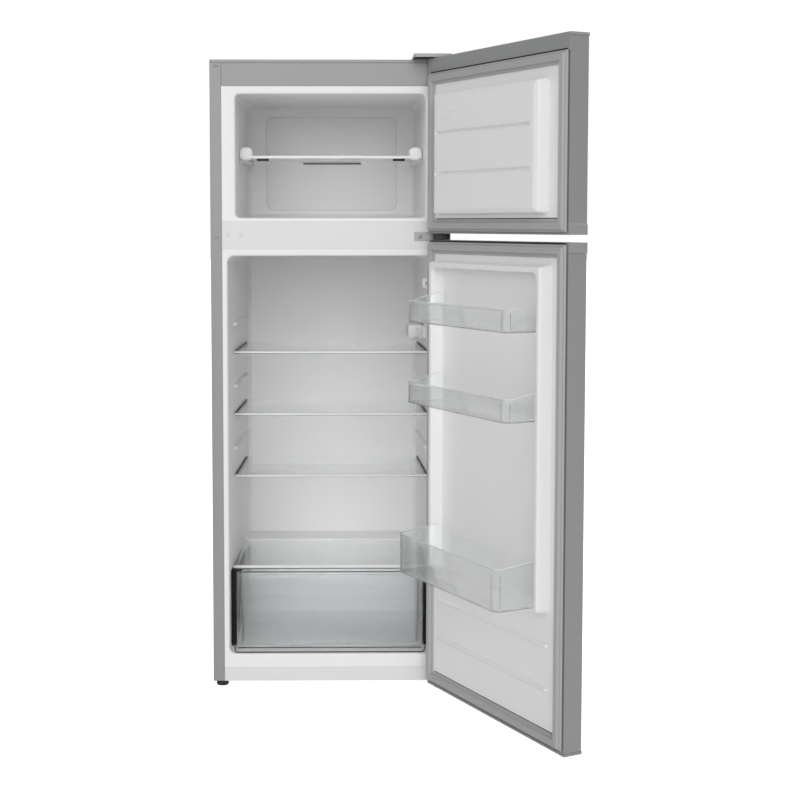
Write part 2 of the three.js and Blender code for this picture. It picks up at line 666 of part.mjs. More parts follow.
/** Switch box on the right wall, bored for its plunger. */
function switchBody() {
  const low = [switchWall - SWITCH_SIZE, switchFront, switchLevel - SWITCH_SIZE / 2];
  const high = [switchWall, switchFront + 26, switchLevel + SWITCH_SIZE / 2];
  const bore = pin(PLUNGER_RADIUS + PIN_CLEARANCE, 0, plungerLength + 6).rotateX(-Math.PI / 2);
  return cut(block(low, high), bore.translate(plungerX, plungerTip, switchLevel));
}
piece('door_switch_body', switchBody(), WHITE);
const plunger = piece('door_switch_plunger', pin(PLUNGER_RADIUS, 0, plungerLength), WHITE);
plunger.position.set(plungerX, plungerTip, switchLevel);
plunger.rotation.x = -Math.PI / 2;

// ---------------------------------------------------------------- machinery
const baseTop = BASE_PLATE_LEVEL + BASE_PLATE;
const bayMiddle = (BAY_FRONT + CABINET_DEPTH) / 2 + 6;
const rollerY = CABINET_DEPTH - ROLLER_FROM_BACK;
const rollerX = SIDE - ROLLER_FROM_SIDE;
const glandX = 170;
const glandLevel = baseTop + 24;

/** Folded steel plate under the compressor, with two roller forks and the tab for the mains lead. */
function basePlate() {
  const plate = block([-SIDE + 2, BAY_FRONT + 2, BASE_PLATE_LEVEL], [SIDE - 2, CABINET_DEPTH - 2, baseTop]);
  const tabLow = [glandX - 20, CABINET_DEPTH - 4, BASE_PLATE_LEVEL];
  const tab = block(tabLow, [glandX + 20, CABINET_DEPTH - 2, baseTop + 44]);
  const forks = [-1, 1].flatMap((side) =>
    [-1, 1].map((cheek) => {
      const inner = side * rollerX + cheek * (ROLLER_WIDTH / 2 + FIT * 3);
      const outer = inner + cheek * 2;
      const low = [Math.min(inner, outer), rollerY - 9, ROLLER_RADIUS - 6];
      return block(low, [Math.max(inner, outer), rollerY + 9, baseTop - 1]);
    }),
  );
  const axles = [-1, 1].map((side) => {
    const axle = pin(AXLE_RADIUS, -ROLLER_WIDTH / 2 - 2, ROLLER_WIDTH / 2 + 2, 12).rotateY(Math.PI / 2);
    return axle.translate(side * rollerX, rollerY, ROLLER_RADIUS);
  });
  const hole = pin(7, -5, 5).rotateX(Math.PI / 2).translate(glandX, CABINET_DEPTH - 3, glandLevel);
  return cut(join(plate, tab, ...forks, ...axles), hole);
}
piece('compressor_base_plate', basePlate(), STEEL);

/** Moulded ring of a rear roller, its axis along Z until it is placed. */
function roller() {
  const half = ROLLER_WIDTH / 2;
  const bore = AXLE_RADIUS + PIN_CLEARANCE;
  const rim = ROLLER_RADIUS;
  const tread = [[rim - 1, -half], [rim, -half + 1], [rim, half - 1], [rim - 1, half]];
  return turned([[bore, -half], ...tread, [bore, half], [bore, -half]], 24);
}
[-1, 1].forEach((side) => {
  const wheel = piece(side < 0 ? 'rear_roller_left' : 'rear_roller_right', roller(), BLACK);
  wheel.position.set(side * rollerX, rollerY, ROLLER_RADIUS);
  wheel.rotation.y = Math.PI / 2;
});

const compressorFloor = baseTop + COMPRESSOR_FOOT_GAP;
const compressorTop = BAY_TOP - COMPRESSOR_HEADROOM;

/** Welded compressor shell with its foot plate. */
function compressor() {
  const r = COMPRESSOR_RADIUS;
  const h = compressorTop - compressorFloor;
  const lower = [[0, 2], [r * 0.6, 5], [r * 0.88, 16], [r - 3, 34], [r - 3, h * 0.52]];
  const weld = [[r, h * 0.53], [r, h * 0.57], [r - 4, h * 0.58]];
  const upper = [[r - 5, h * 0.8], [r * 0.78, h * 0.93], [r * 0.4, h * 0.99], [0, h]];
  const body = turned([...lower, ...weld, ...upper], 28).scale(COMPRESSOR_STRETCH, 1, 1);
  const feet = prismZ(rectangle(-r * 1.5, r * 1.5, -r + 10, r - 10, 12), 0, 3);
  const post = block([-r * 0.7, -r * 0.5, 1], [r * 0.7, r * 0.5, 12]);
  return join(body, feet, post);
}
const compressorMesh = piece('compressor', compressor(), BLACK);
compressorMesh.position.set(COMPRESSOR_X, bayMiddle, compressorFloor);

const boxLeft = COMPRESSOR_X + COMPRESSOR_RADIUS * COMPRESSOR_STRETCH + 2;
const boxFloor = compressorFloor + 35;
piece(
  'terminal_box',
  prismZ(rectangle(boxLeft, boxLeft + 38, bayMiddle - 30, bayMiddle + 30, 6), boxFloor, boxFloor + 62),
  BLACK,
);

/** Open tray over the compressor where the defrost water dries off. */
function dripTray() {
  const low = compressorTop + 4;
  const plan = (wall) =>
    rectangle(
      COMPRESSOR_X - TRAY_HALF + wall,
      COMPRESSOR_X + TRAY_HALF - wall,
      bayMiddle - 48 + wall,
      bayMiddle + 44 - wall,
      10 - wall,
    );
  return cut(prismZ(plan(0), low, low + TRAY_HEIGHT), prismZ(plan(2), low + 2, low + TRAY_HEIGHT + FIT));
}
piece('drip_tray', dripTray(), GREY_PLASTIC);

const condenserY = CABINET_DEPTH + CONDENSER_STANDOFF;
const condenserBottom = BAY_TOP + CONDENSER_RISE;
const condenserPasses = 1 + Math.floor((CABINET_HEIGHT - CONDENSER_TOP_GAP - condenserBottom) / CONDENSER_PITCH);
const condenserTop = condenserBottom + CONDENSER_PITCH * (condenserPasses - 1);
const condenserEnd = SIDE - CONDENSER_SIDE_GAP - CONDENSER_PITCH / 2; // where its straight passes end

/** Path of the condenser tube: level passes joined by half-round bends, from the bottom up. */
function condenserPath() {
  const path = new THREE.CurvePath();
  const bend = CONDENSER_PITCH / 2;
  const end = condenserEnd;
  for (let pass = 0; pass < condenserPasses; pass += 1) {
    const side = pass % 2 ? -1 : 1;
    const z = condenserBottom + pass * CONDENSER_PITCH;
    const from = new THREE.Vector3(-side * end, condenserY, z);
    const to = new THREE.Vector3(side * end, condenserY, z);
    path.add(new THREE.LineCurve3(from, to));
    if (pass < condenserPasses - 1) {
      const reach = 1.33 * bend;
      path.add(
        new THREE.CubicBezierCurve3(
          to,
          new THREE.Vector3(side * (end + reach), condenserY, z),
          new THREE.Vector3(side * (end + reach), condenserY, z + CONDENSER_PITCH),
          new THREE.Vector3(side * end, condenserY, z + CONDENSER_PITCH),
        ),
      );
    }
  }
  return path;
}

/** Condenser: the passes and bends of the tube, joined with the upright wires that stiffen it. */
function condenser() {
  const overlap = 0.3;
  const tube = condenserPath().curves.map((curve) => {
    if (!(curve instanceof THREE.LineCurve3)) return solid(rod(curve, CONDENSER_TUBE, 5, 6));
    const reach = new THREE.Vector3(Math.sign(curve.v2.x - curve.v1.x) * overlap, 0, 0);
    const longer = new THREE.LineCurve3(curve.v1.clone().sub(reach), curve.v2.clone().add(reach));
    return solid(rod(longer, CONDENSER_TUBE, 1, 6));
  });
  const spacing = (2 * condenserEnd) / (CONDENSER_WIRES - 1);
  const wires = Array.from({ length: CONDENSER_WIRES }, (_, i) => {
    const x = -condenserEnd + i * spacing;
    const y = condenserY + CONDENSER_TUBE - overlap;
    return solid(block([x - 1, y - 1, condenserBottom - 12], [x + 1, y + 1, condenserTop + 12]));
  });
  return shell([...tube.slice(1), ...wires].reduce((body, next) => body.add(next), tube[0]));
}
piece('condenser', condenser(), BLACK);

const dryerX = -150;
const dryerLow = BAY_TOP - 143;
const dryerProfile = [[0, 0], [4, 0], [4, 8], [10, 16], [10, 84], [4, 92], [4, 100], [0, 100]];
piece('filter_dryer', turned(dryerProfile, 16), COPPER)
  .position.set(dryerX, bayMiddle, dryerLow);

/** A bent refrigerant pipe through hand-placed points. */
function pipe(points) {
  const path = new THREE.CatmullRomCurve3(points.map((p) => new THREE.Vector3(...p)), false, 'centripetal');
  return rod(path, PIPE_RADIUS, 24);
}
const shellEdge = COMPRESSOR_X - COMPRESSOR_RADIUS * COMPRESSOR_STRETCH - 2;
piece(
  'discharge_pipe',
  pipe([
    [shellEdge, bayMiddle, compressorFloor + 60],
    [shellEdge - 30, bayMiddle, compressorFloor + 60],
    [shellEdge - 60, bayMiddle + 20, compressorFloor + 90],
    [shellEdge - 60, condenserY, BAY_TOP],
    [-condenserEnd - 24, condenserY, condenserBottom - 20],
    [-condenserEnd - 10, condenserY, condenserBottom],
    [-condenserEnd - 1.6, condenserY, condenserBottom],
  ]),
  COPPER,
);
piece(
  'suction_pipe',
  pipe([
    [shellEdge, bayMiddle - 20, compressorFloor + 40],
    [shellEdge - 25, bayMiddle - 22, compressorFloor + 40],
    [shellEdge - 45, bayMiddle - 22, compressorFloor + 80],
    [shellEdge - 45, bayMiddle - 22, BAY_TOP - SHEET - 1],
  ]),
  COPPER,
);

/** Rubber gland where the mains lead enters. */
function cableGland() {
  const inner = [[3, -8], [6, -8], [6, -5], [10, -5]];
  const outer = [[10, -2.5], [6.5, -2.5], [6.5, 0.5], [9, 0.5], [8, 9], [3, 9]];
  return turned([...inner, ...outer, inner[0]], 20);
}
const gland = piece('cable_gland', cableGland(), BLACK);
gland.position.set(glandX, CABINET_DEPTH - 2 + 0.2, glandLevel);
gland.rotation.x = -Math.PI / 2;

// ---------------------------------------------------------------- hinges and feet
/** A flat hinge arm that reaches forward to the hinge axis, with a round nose. */
function hingeArm(back, z0, z1) {
  const half = HINGE_ARM_WIDTH / 2;
  const shape = new THREE.Shape();
  shape.moveTo(HINGE_X - half, back);
  shape.lineTo(HINGE_X - half, HINGE_Y);
  shape.absarc(HINGE_X, HINGE_Y, half, Math.PI, 2 * Math.PI, false);
  shape.lineTo(HINGE_X + half, back);
  return prismZ(shape, z0, z1);
}

/** A hinge pin on the door axis. */
function hingePin(z0, z1, extra = 0) {
  return pin(PIN_RADIUS + extra, z0, z1).translate(HINGE_X, HINGE_Y, 0);
}

const topPlate = CABINET_HEIGHT + FIT;
const topPlateEnd = topPlate + HINGE_PLATE;
const hingeLeft = HINGE_X - 60;
const hingeBack = 58;
const capBore = 13;

piece(
  'top_hinge',
  join(
    block([hingeLeft, 4, topPlate], [SIDE - 6, hingeBack, topPlateEnd]),
    hingeArm(6, topPlate, topPlateEnd),
    hingePin(FREEZER_DOOR_TOP - capBore + 2, topPlateEnd - 1),
  ),
  STEEL,
);

/** Moulded cover over the top hinge. */
function hingeCover() {
  const wall = 2;
  const roof = topPlateEnd + 5;
  const nose = HINGE_Y - HINGE_ARM_WIDTH / 2 - wall - 2;
  const outer = prismZ(rectangle(hingeLeft - 4, SIDE - 1, nose, hingeBack + 4, 8), topPlate, roof);
  const inner = prismZ(
    rectangle(hingeLeft - 4 + wall, SIDE - 1 - wall, nose + wall, hingeBack + 4 - wall, 6),
    topPlate - FIT,
    roof - wall,
  );
  return cut(outer, inner);
}
piece('top_hinge_cover', hingeCover(), GREY_PLASTIC);

const gapMiddle = FRIDGE_DOOR_TOP + DOOR_GAP / 2;
const armLow = gapMiddle - HINGE_PLATE / 2;
const armHigh = armLow + HINGE_PLATE;
piece(
  'middle_hinge',
  join(
    block([hingeLeft, -2 - FIT, gapMiddle - 10], [SIDE - 9, -FIT, gapMiddle + 10]),
    hingeArm(-1, armLow, armHigh),
    hingePin(FRIDGE_DOOR_TOP - capBore + 2, FREEZER_DOOR_BOTTOM + capBore - 2),
  ),
  STEEL,
);
const sleeve = DOOR_GAP - 4;
const sleeveLow = gapMiddle - sleeve / 2;
piece(
  'middle_hinge_cover',
  cut(
    prismZ(rectangle(HINGE_X - 19, HINGE_X + 19, HINGE_Y - 16, -4, 9), sleeveLow, sleeveLow + sleeve),
    block([HINGE_X - 16, HINGE_Y - 14.6, armLow - FIT], [HINGE_X + 16, 0, armHigh + FIT]),
    hingePin(sleeveLow - FIT, sleeveLow + sleeve + FIT, FIT),
  ),
  BLACK,
);

const lowPlateEnd = UNDERSIDE - FIT;
const lowPlate = lowPlateEnd - HINGE_PLATE;
const footX = SIDE - FOOT_FROM_SIDE;
piece(
  'bottom_hinge',
  cut(
    join(
      hingeArm(50, lowPlate, lowPlateEnd),
      hingePin(lowPlate + 1, FRIDGE_DOOR_BOTTOM + capBore - 2),
    ),
    pin(STUD_RADIUS + PIN_CLEARANCE, 0, UNDERSIDE).translate(footX, FOOT_BACK, 0),
  ),
  STEEL,
);

/** Levelling foot: a ribbed pad with its screwed stud. */
function levellingFoot() {
  const profile = [
    [0, 0],
    [FOOT_RADIUS - 1, 0],
    [FOOT_RADIUS, 1],
    [FOOT_RADIUS, FOOT_PAD - 2],
    [FOOT_RADIUS - 2, FOOT_PAD],
    [STUD_RADIUS, FOOT_PAD],
    [STUD_RADIUS, UNDERSIDE - FIT],
    [0, UNDERSIDE - FIT],
  ];
  return turned(profile, 24);
}
piece('front_foot_left', levellingFoot(), BLACK).position.set(-footX, FOOT_BACK, 0);
piece('front_foot_right', levellingFoot(), BLACK).position.set(footX, FOOT_BACK, 0);

// ---------------------------------------------------------------- doors
/** An empty group that turns its contents, modelled shut, to the open angle about the hinge axis. */
function openDoor() {
  const pivot = new THREE.Group();
  pivot.position.set(HINGE_X, HINGE_Y, 0);
  pivot.rotation.z = THREE.MathUtils.degToRad(OPEN_ANGLE);
  const frame = new THREE.Group();
  frame.position.set(-HINGE_X, -HINGE_Y, 0);
  pivot.add(frame);
  refrigerator.add(pivot);
  return frame;
}

/** Painted steel front of a door, folded round both sides to the inner trim. */
function doorSkin(z0, z1) {
  const inner = SIDE - SHEET;
  const lip = SIDE - TRIM_RETURN;
  const profile = [
    [-SIDE, FACE_Y, DOOR_CORNER],
    [SIDE, FACE_Y, DOOR_CORNER],
    [SIDE, TRIM_Y],
    [lip, TRIM_Y],
    [lip, TRIM_Y - SHEET],
    [inner, TRIM_Y - SHEET],
    [inner, FACE_Y + SHEET, DOOR_CORNER - SHEET],
    [-inner, FACE_Y + SHEET, DOOR_CORNER - SHEET],
    [-inner, TRIM_Y - SHEET],
    [-lip, TRIM_Y - SHEET],
    [-lip, TRIM_Y],
    [-SIDE, TRIM_Y],
  ];
  return prismZ(outline(profile), z0, z1);
}

/** End cap of a door as a plain block, a little proud of the skin. */
function capBlock(z0, z1) {
  return prismZ(
    outline([
      [-SIDE - CAP_PROUD, FACE_Y - CAP_PROUD, DOOR_CORNER],
      [SIDE, FACE_Y - CAP_PROUD, DOOR_CORNER],
      [SIDE, TRIM_Y],
      [-SIDE - CAP_PROUD, TRIM_Y],
    ]),
    z0,
    z1,
  );
}

/** Finger grip in a cap, open at `mouth` and as deep as `bottom`. */
function grip(mouth, bottom) {
  const left = -SIDE + GRIP_FROM_SIDE;
  const plan = rectangle(left, left + GRIP_LENGTH, FACE_Y + 10, FACE_Y + 10 + GRIP_DEPTH, 6);
  return prismZ(plan, Math.min(mouth, bottom), Math.max(mouth, bottom));
}

/** Flat foam core of a door, stopping short of the liner. */
function doorFoam(z0, z1) {
  const inset = SHEET + FIT;
  return prismZ(
    rectangle(-SIDE + inset, SIDE - inset, FACE_Y + inset, TRIM_Y - inset, DOOR_CORNER - SHEET),
    z0 + FIT,
    z1 - FIT,
  );
}

/** Flat sheet of a door liner, its edge under the gasket. */
function linerSheet(z0, z1) {
  const tuck = 3;
  return block(
    [GASKET_LEFT + tuck, TRIM_Y + FIT, z0 + tuck],
    [GASKET_RIGHT - tuck, LINER_FACE, z1 - tuck],
  );
}

/** A rectangular ring standing up from a door's inner face. */
function ring(inset, width, z0, z1, y0, y1) {
  const outer = prismY(rectangle(GASKET_LEFT + inset, GASKET_RIGHT - inset, z0 + inset, z1 - inset, 2), y0, y1);
  const far = inset + width;
  const inner = prismY(rectangle(GASKET_LEFT + far, GASKET_RIGHT - far, z0 + far, z1 - far, 2), y0 - FIT, y1 + FIT);
  return cut(outer, inner);
}

/** Magnetic door gasket: a flat base with the sealing bulb on it. */
function gasket(z0, z1) {
  const base = LINER_FACE + FIT;
  return join(
    ring(0, GASKET_WIDTH, z0, z1, base, base + GASKET_BASE),
    ring(BULB_INSET, BULB_WIDTH, z0, z1, base + GASKET_BASE - FIT, -SEAL_GAP),
  );
}

const socketWall = 4;

/** Socket that a low cap sends into the foam around its hinge pin, grown by `extra`. */
function socket(z0, z1, extra = 0) {
  return hingePin(z0, z1, socketWall + extra);
}

// freezer door
const freezerDoor = openDoor();
const freezerGasket = [FREEZER_DOOR_BOTTOM + GASKET_END, FREEZER_DOOR_TOP - FREEZER_GASKET_DROP];
const freezerSkin = [FREEZER_DOOR_BOTTOM + TALL_CAP + FIT, FREEZER_DOOR_TOP - LOW_CAP - FIT];
const freezerSocket = [FREEZER_DOOR_TOP - capBore - 3, FREEZER_DOOR_TOP - 1];

/** The block that fills the freezer opening behind its door, shrunk by `wall`. */
function freezerPlug(wall) {
  const half = FREEZER_HALF - PLUG_SIDE - wall;
  const plan = rectangle(-half, half, FREEZER_FLOOR + PLUG_END + wall, FREEZER_TOP - PLUG_END - wall, 6);
  return prismY(plan, TRIM_Y - FIT, LINER_FACE + RELIEF - wall);
}

/** Freezer door liner: a sheet with a hollow raised panel and two level grooves across it. */
function freezerDoorLiner() {
  const height = (FREEZER_HEIGHT - 2 * PLUG_END) / 3;
  const grooves = [1, 2].map((i) => {
    const z = FREEZER_FLOOR + PLUG_END + i * height;
    const face = LINER_FACE + RELIEF;
    return block([-SIDE, face - GROOVE_DEPTH, z], [SIDE - 90, face + FIT, z + GROOVE_HEIGHT]);
  });
  const raised = cut(freezerPlug(0), block([-SIDE, -SIDE, 0], [SIDE, TRIM_Y + FIT, CABINET_HEIGHT]));
  return cut(join(linerSheet(...freezerGasket), raised), freezerPocket(), ...grooves);
}

/** The hollow behind the raised freezer panel, clear of the grooves. */
function freezerPocket() {
  const half = FREEZER_HALF - PLUG_SIDE - DOOR_LINER;
  const plan = rectangle(
    -half,
    half,
    FREEZER_FLOOR + PLUG_END + DOOR_LINER,
    FREEZER_TOP - PLUG_END - DOOR_LINER,
    5,
  );
  return prismY(plan, TRIM_Y - FIT, LINER_FACE + RELIEF - GROOVE_DEPTH - DOOR_LINER);
}

/** Foam core of the freezer door, filling the raised panel of the liner. */
function freezerDoorFoam() {
  const inset = DOOR_LINER + FIT;
  const half = FREEZER_HALF - PLUG_SIDE - inset;
  const plan = rectangle(-half, half, FREEZER_FLOOR + PLUG_END + inset, FREEZER_TOP - PLUG_END - inset, 4);
  const face = LINER_FACE + RELIEF - GROOVE_DEPTH - inset;
  const core = join(doorFoam(...freezerSkin), prismY(plan, TRIM_Y - DOOR_THICK / 2, face));
  return cut(core, socket(freezerSocket[0] - FIT, FREEZER_DOOR_TOP, FIT));
}

piece('freezer_door_skin', doorSkin(...freezerSkin), SILVER, freezerDoor);
piece('freezer_door_foam', freezerDoorFoam(), FOAM, freezerDoor);
piece('freezer_door_liner', freezerDoorLiner(), WHITE, freezerDoor);
const skirt = block(
  [-SIDE, TRIM_Y + FIT, freezerGasket[1] - 1],
  [SIDE, TRIM_Y + FIT + DOOR_LINER, FREEZER_DOOR_TOP],
);
const skirtTop = block([-SIDE, TRIM_Y - 5, freezerSkin[1] + FIT], [SIDE, TRIM_Y + 2 * FIT, FREEZER_DOOR_TOP]);
piece(
  'freezer_door_top_cap',
  cut(
    join(capBlock(freezerSkin[1] + FIT, FREEZER_DOOR_TOP), skirtTop, skirt, socket(...freezerSocket)),
    hingePin(FREEZER_DOOR_TOP - capBore, FREEZER_DOOR_TOP + 1, PIN_CLEARANCE),
  ),
  GREY_PLASTIC,
  freezerDoor,
);
piece(
  'freezer_door_bottom_cap',
  cut(
    capBlock(FREEZER_DOOR_BOTTOM, freezerSkin[0] - FIT),
    hingePin(FREEZER_DOOR_BOTTOM - 1, FREEZER_DOOR_BOTTOM + capBore, PIN_CLEARANCE),
    grip(FREEZER_DOOR_BOTTOM - 1, FREEZER_DOOR_BOTTOM + GRIP_HEIGHT),
  ),
  GREY_PLASTIC,
  freezerDoor,
);
piece('freezer_door_gasket', gasket(...freezerGasket), GASKET_GREY, freezerDoor);

// fridge door
const fridgeDoor = openDoor();
const fridgeGasket = [FRIDGE_DOOR_BOTTOM + FRIDGE_GASKET_RISE, FRIDGE_DOOR_TOP - GASKET_END + 1];
const fridgeSkin = [FRIDGE_DOOR_BOTTOM + LOW_CAP + FIT, FRIDGE_DOOR_TOP - TALL_CAP - FIT];
const fridgeSocket = [FRIDGE_DOOR_BOTTOM + 1, FRIDGE_DOOR_BOTTOM + capBore + 3];
const borderHalf = FRIDGE_HALF - BORDER_SIDE;
const borderTop = FRIDGE_TOP - BORDER_TOP_GAP;

/** The raised border of the fridge door, down both sides and across the top, shrunk by `wall`. */
function borders(wall, y0) {
  const inner = borderHalf - BORDER_WIDTH;
  const arch = outline([
    [-borderHalf + wall, BORDER_BOTTOM + wall, 4],
    [-inner - wall, BORDER_BOTTOM + wall],
    [-inner - wall, borderTop - BORDER_WIDTH + wall],
    [inner + wall, borderTop - BORDER_WIDTH + wall],
    [inner + wall, BORDER_BOTTOM + wall],
    [borderHalf - wall, BORDER_BOTTOM + wall, 4],
    [borderHalf - wall, borderTop - wall, 8],
    [-borderHalf + wall, borderTop - wall, 8],
  ]);
  return prismY(arch, y0, LINER_FACE + RELIEF - wall);
}

/** Fridge door liner: a sheet with a hollow raised border, and two low ribs under it. */
function fridgeDoorLiner() {
  const ribs = LOW_RIB_LEVELS.map((z) => {
    const edge = borderHalf - 6;
    const low = [-edge, LINER_FACE - DOOR_LINER / 2, z];
    return block(low, [edge, LINER_FACE + LOW_RIB_REACH, z + LOW_RIB_HEIGHT]);
  });
  return cut(
    join(linerSheet(...fridgeGasket), borders(0, LINER_FACE - DOOR_LINER / 2), ...ribs),
    borders(DOOR_LINER, TRIM_Y - FIT),
  );
}

piece('fridge_door_skin', doorSkin(...fridgeSkin), SILVER, fridgeDoor);
piece(
  'fridge_door_foam',
  cut(
    join(doorFoam(...fridgeSkin), borders(DOOR_LINER + FIT, TRIM_Y - DOOR_THICK / 2)),
    socket(FRIDGE_DOOR_BOTTOM, fridgeSocket[1] + FIT, FIT),
  ),
  FOAM,
  fridgeDoor,
);
piece('fridge_door_liner', fridgeDoorLiner(), WHITE, fridgeDoor);
piece(
  'fridge_door_top_cap',
  cut(
    capBlock(fridgeSkin[1] + FIT, FRIDGE_DOOR_TOP),
    hingePin(FRIDGE_DOOR_TOP - capBore, FRIDGE_DOOR_TOP + 1, PIN_CLEARANCE),
    grip(FRIDGE_DOOR_TOP + 1, FRIDGE_DOOR_TOP - GRIP_HEIGHT),
  ),
  GREY_PLASTIC,
  fridgeDoor,
);
piece(
  'fridge_door_bottom_cap',
  cut(
    join(capBlock(FRIDGE_DOOR_BOTTOM, fridgeSkin[0] - FIT), socket(...fridgeSocket)),
    hingePin(FRIDGE_DOOR_BOTTOM - 1, FRIDGE_DOOR_BOTTOM + capBore, PIN_CLEARANCE),
  ),
  GREY_PLASTIC,
  fridgeDoor,
);
piece('fridge_door_gasket', gasket(...fridgeGasket), GASKET_GREY, fridgeDoor);

/** A clear door bin between the borders: low in front, with end walls that rise towards the door. */
function bin({ under, over, reach, ...rise }) {
  const floor = over ?? FRIDGE_TOP - under;
  const [front, end, back] = [floor + rise.front, floor + rise.end, floor + rise.back];
  const half = borderHalf - BORDER_WIDTH - BIN_SIDE_GAP;
  const near = LINER_FACE + FIT;
  const far = TRIM_Y + reach;
  const plan = (wall) =>
    outline([
      [-half + wall, near + wall],
      [half - wall, near + wall],
      [half - wall, far - wall, BIN_CORNER],
      [-half + wall, far - wall, BIN_CORNER],
    ]);
  const above = outline([
    [far + 1, front],
    [far - BIN_CORNER, front],
    [near + BIN_CORNER, end, 8],
    [near - 1, end],
    [near - 1, end + 9],
    [far + 1, end + 9],
  ]);
  return cut(
    prismZ(plan(0), floor, end),
    prismZ(plan(BIN_WALL), floor + BIN_WALL, end + 1),
    prismX(above, -SIDE, SIDE),
    block([-half + BIN_CORNER, near - 1, back], [half - BIN_CORNER, near + BIN_WALL + 1, end + 1]),
  );
}
Object.entries(BINS).forEach(([name, sizes]) => piece(name, bin(sizes), CLEAR, fridgeDoor));

// ---------------------------------------------------------------- origin
refrigerator.updateMatrixWorld(true);
const bounds = new THREE.Box3().setFromObject(refrigerator, true);
const middle = bounds.getCenter(new THREE.Vector3());
refrigerator.position.set(-middle.x, -middle.y, -bounds.min.z);
refrigerator.updateMatrixWorld(true);

export default refrigerator;
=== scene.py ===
"""Top freezer refrigerator with both doors open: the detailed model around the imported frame.

Everything is in metres, in the frame's axes: X to the right, Y to the back, Z up from the floor.
"""

import json
import logging
import math
from dataclasses import dataclass
from enum import Enum
from typing import Callable, Sequence

import bmesh
import bpy
import numpy as np
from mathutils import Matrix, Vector


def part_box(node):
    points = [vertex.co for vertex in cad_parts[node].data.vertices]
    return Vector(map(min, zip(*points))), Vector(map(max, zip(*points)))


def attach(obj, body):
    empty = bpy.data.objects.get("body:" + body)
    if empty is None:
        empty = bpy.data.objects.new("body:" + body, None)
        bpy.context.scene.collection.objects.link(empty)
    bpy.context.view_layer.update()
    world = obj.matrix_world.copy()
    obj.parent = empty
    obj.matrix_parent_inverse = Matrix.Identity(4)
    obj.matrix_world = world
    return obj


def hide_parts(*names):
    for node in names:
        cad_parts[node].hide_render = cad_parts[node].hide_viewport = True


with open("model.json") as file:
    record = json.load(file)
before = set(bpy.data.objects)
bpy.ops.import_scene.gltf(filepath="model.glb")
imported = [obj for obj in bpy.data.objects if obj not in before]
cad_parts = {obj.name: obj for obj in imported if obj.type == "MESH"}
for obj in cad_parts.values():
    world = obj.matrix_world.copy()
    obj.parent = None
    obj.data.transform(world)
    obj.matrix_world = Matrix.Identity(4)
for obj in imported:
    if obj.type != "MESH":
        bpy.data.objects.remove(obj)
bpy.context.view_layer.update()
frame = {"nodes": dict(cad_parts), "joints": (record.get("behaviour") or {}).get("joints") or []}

LOG = logging.getLogger("refrigerator")
TINY = 1e-5
MERGE = 2e-6
COAT_ROUGHNESS = 0.12
QUARTER = math.pi / 2
Colour = tuple[float, float, float]
Corner = tuple[float, float, float]
Numbers = float | Sequence | np.ndarray
Input = float | tuple | bpy.types.NodeSocket


# ------------------------------------------------------------------------------------------- shapes
class Axis(Enum):
    """The way that a row of outlines is stacked."""

    X = 0
    Y = 1
    Z = 2


@dataclass(frozen=True)
class Placement:
    """A sub-assembly's own axes: the frame's, turned about an upright line.

    Attributes:
        anchor: X and Y of the upright line, in the frame.
        angle: how far the sub-assembly is turned, anticlockwise from above.
    """

    anchor: tuple[float, float] = (0.0, 0.0)
    angle: float = 0.0

    def out(self, points: np.ndarray, turn: float = 1.0) -> np.ndarray:
        """Points from the sub-assembly's axes into the frame.

        Args:
            points: an array whose last side is X, Y, Z.
            turn: 1 to go out into the frame, -1 to come back from it.

        Returns:
            The turned points.
        """
        cos, sin = math.cos(self.angle), math.sin(self.angle) * turn
        x, y = points[..., 0] - self.anchor[0], points[..., 1] - self.anchor[1]
        turned = (x * cos - y * sin + self.anchor[0], x * sin + y * cos + self.anchor[1])
        return np.stack((*turned, points[..., 2]), -1)

    def box(self, node: str) -> tuple[np.ndarray, np.ndarray]:
        """Lowest and highest corners of a CAD node along the sub-assembly's axes."""
        mesh = frame["nodes"][node].data
        flat = np.empty(len(mesh.vertices) * 3, np.float32)
        mesh.vertices.foreach_get("co", flat)
        points = self.out(flat.reshape(-1, 3).astype(float), -1.0)
        return points.min(0), points.max(0)


STILL = Placement()


def hinge(joint: str) -> Placement:
    """The placement of a door that is modelled shut: turned back by the joint's lower limit."""
    found = next(j for j in frame["joints"] if j["name"] == joint)
    low = math.radians(min(found["range_deg"]))
    return Placement((found["pos_m"][0], found["pos_m"][1]), -low)


